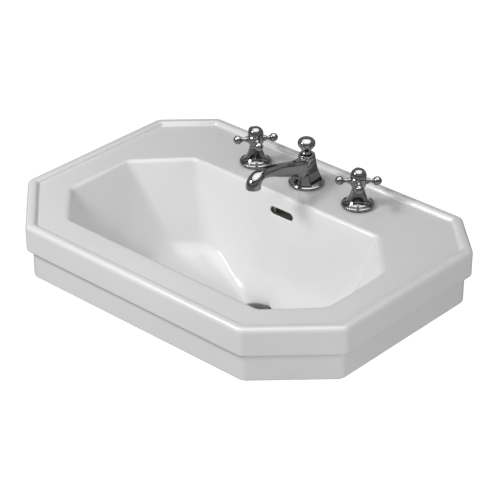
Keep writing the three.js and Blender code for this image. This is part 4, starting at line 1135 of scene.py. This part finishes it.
# Pale room for the eye and for soft light, and a darker one for reflections, as black flags give chrome.
def makeRoom():
    world = bpy.data.worlds.new("studio")
    world.use_nodes = True
    nodes, link = world.node_tree.nodes, world.node_tree.links.new
    backdrop = nodes["Background"]
    backdrop.inputs["Color"].default_value = (1, 1, 1, 1)
    backdrop.inputs["Strength"].default_value = roomLight["soft"]
    dark = nodes.new("ShaderNodeBackground")
    place = nodes.new("ShaderNodeTexCoord")
    split = nodes.new("ShaderNodeSeparateXYZ")
    flags = nodes.new("ShaderNodeValToRGB")
    steps = flags.color_ramp.elements
    for at, tone in roomBands:
        steps.new(at).color = (tone, tone, tone, 1)
    for end, (at, tone) in ((0, roomBands[0]), (-1, roomBands[-1])):
        steps[end].color = (tone, tone, tone, 1)
    link(place.outputs["Generated"], split.inputs["Vector"])
    link(split.outputs["Z"], flags.inputs["Fac"])
    link(flags.outputs["Color"], dark.inputs["Color"])
    dark.inputs["Strength"].default_value = roomLight["mirrored"]
    seen = nodes.new("ShaderNodeBackground")
    seen.inputs["Color"].default_value = (1, 1, 1, 1)
    seen.inputs["Strength"].default_value = roomLight["seen"]
    path = nodes.new("ShaderNodeLightPath")
    glossy = nodes.new("ShaderNodeMixShader")
    eye = nodes.new("ShaderNodeMixShader")
    link(path.outputs["Is Glossy Ray"], glossy.inputs[0])
    link(backdrop.outputs[0], glossy.inputs[1])
    link(dark.outputs[0], glossy.inputs[2])
    link(path.outputs["Is Camera Ray"], eye.inputs[0])
    link(glossy.outputs[0], eye.inputs[1])
    link(seen.outputs[0], eye.inputs[2])
    link(eye.outputs[0], nodes["World Output"].inputs["Surface"])
    scene.world = world


cameraSet = {"azimuth": 42.225, "elevation": 29.97, "distance": 3.19478, "lens": 146.17,
             "aimRight": 0.080826, "aimForward": -0.061146}


def makeCamera():
    c = cameraSet
    a, e = math.radians(c["azimuth"]), math.radians(c["elevation"])
    back = Vector((math.sin(a) * math.cos(e), -math.cos(a) * math.cos(e), math.sin(e)))
    middle = (cadLow + cadHigh) / 2
    aim = Vector((middle.x + c["aimRight"], middle.y + c["aimForward"], rimTop * mm))
    data = bpy.data.cameras.new("camera")
    data.sensor_width = 36
    data.lens = c["lens"]
    camera = bpy.data.objects.new("camera", data)
    camera.location = aim + back * c["distance"]
    camera.rotation_mode = "QUATERNION"
    camera.rotation_quaternion = (-back).to_track_quat("-Z", "Y")
    scene.collection.objects.link(camera)
    scene.camera = camera


makeFloor()
makeLamps()
makeRoom()
makeCamera()
scene.view_settings.view_transform = "Standard"
scene.view_settings.look = "None"
print("stage set")
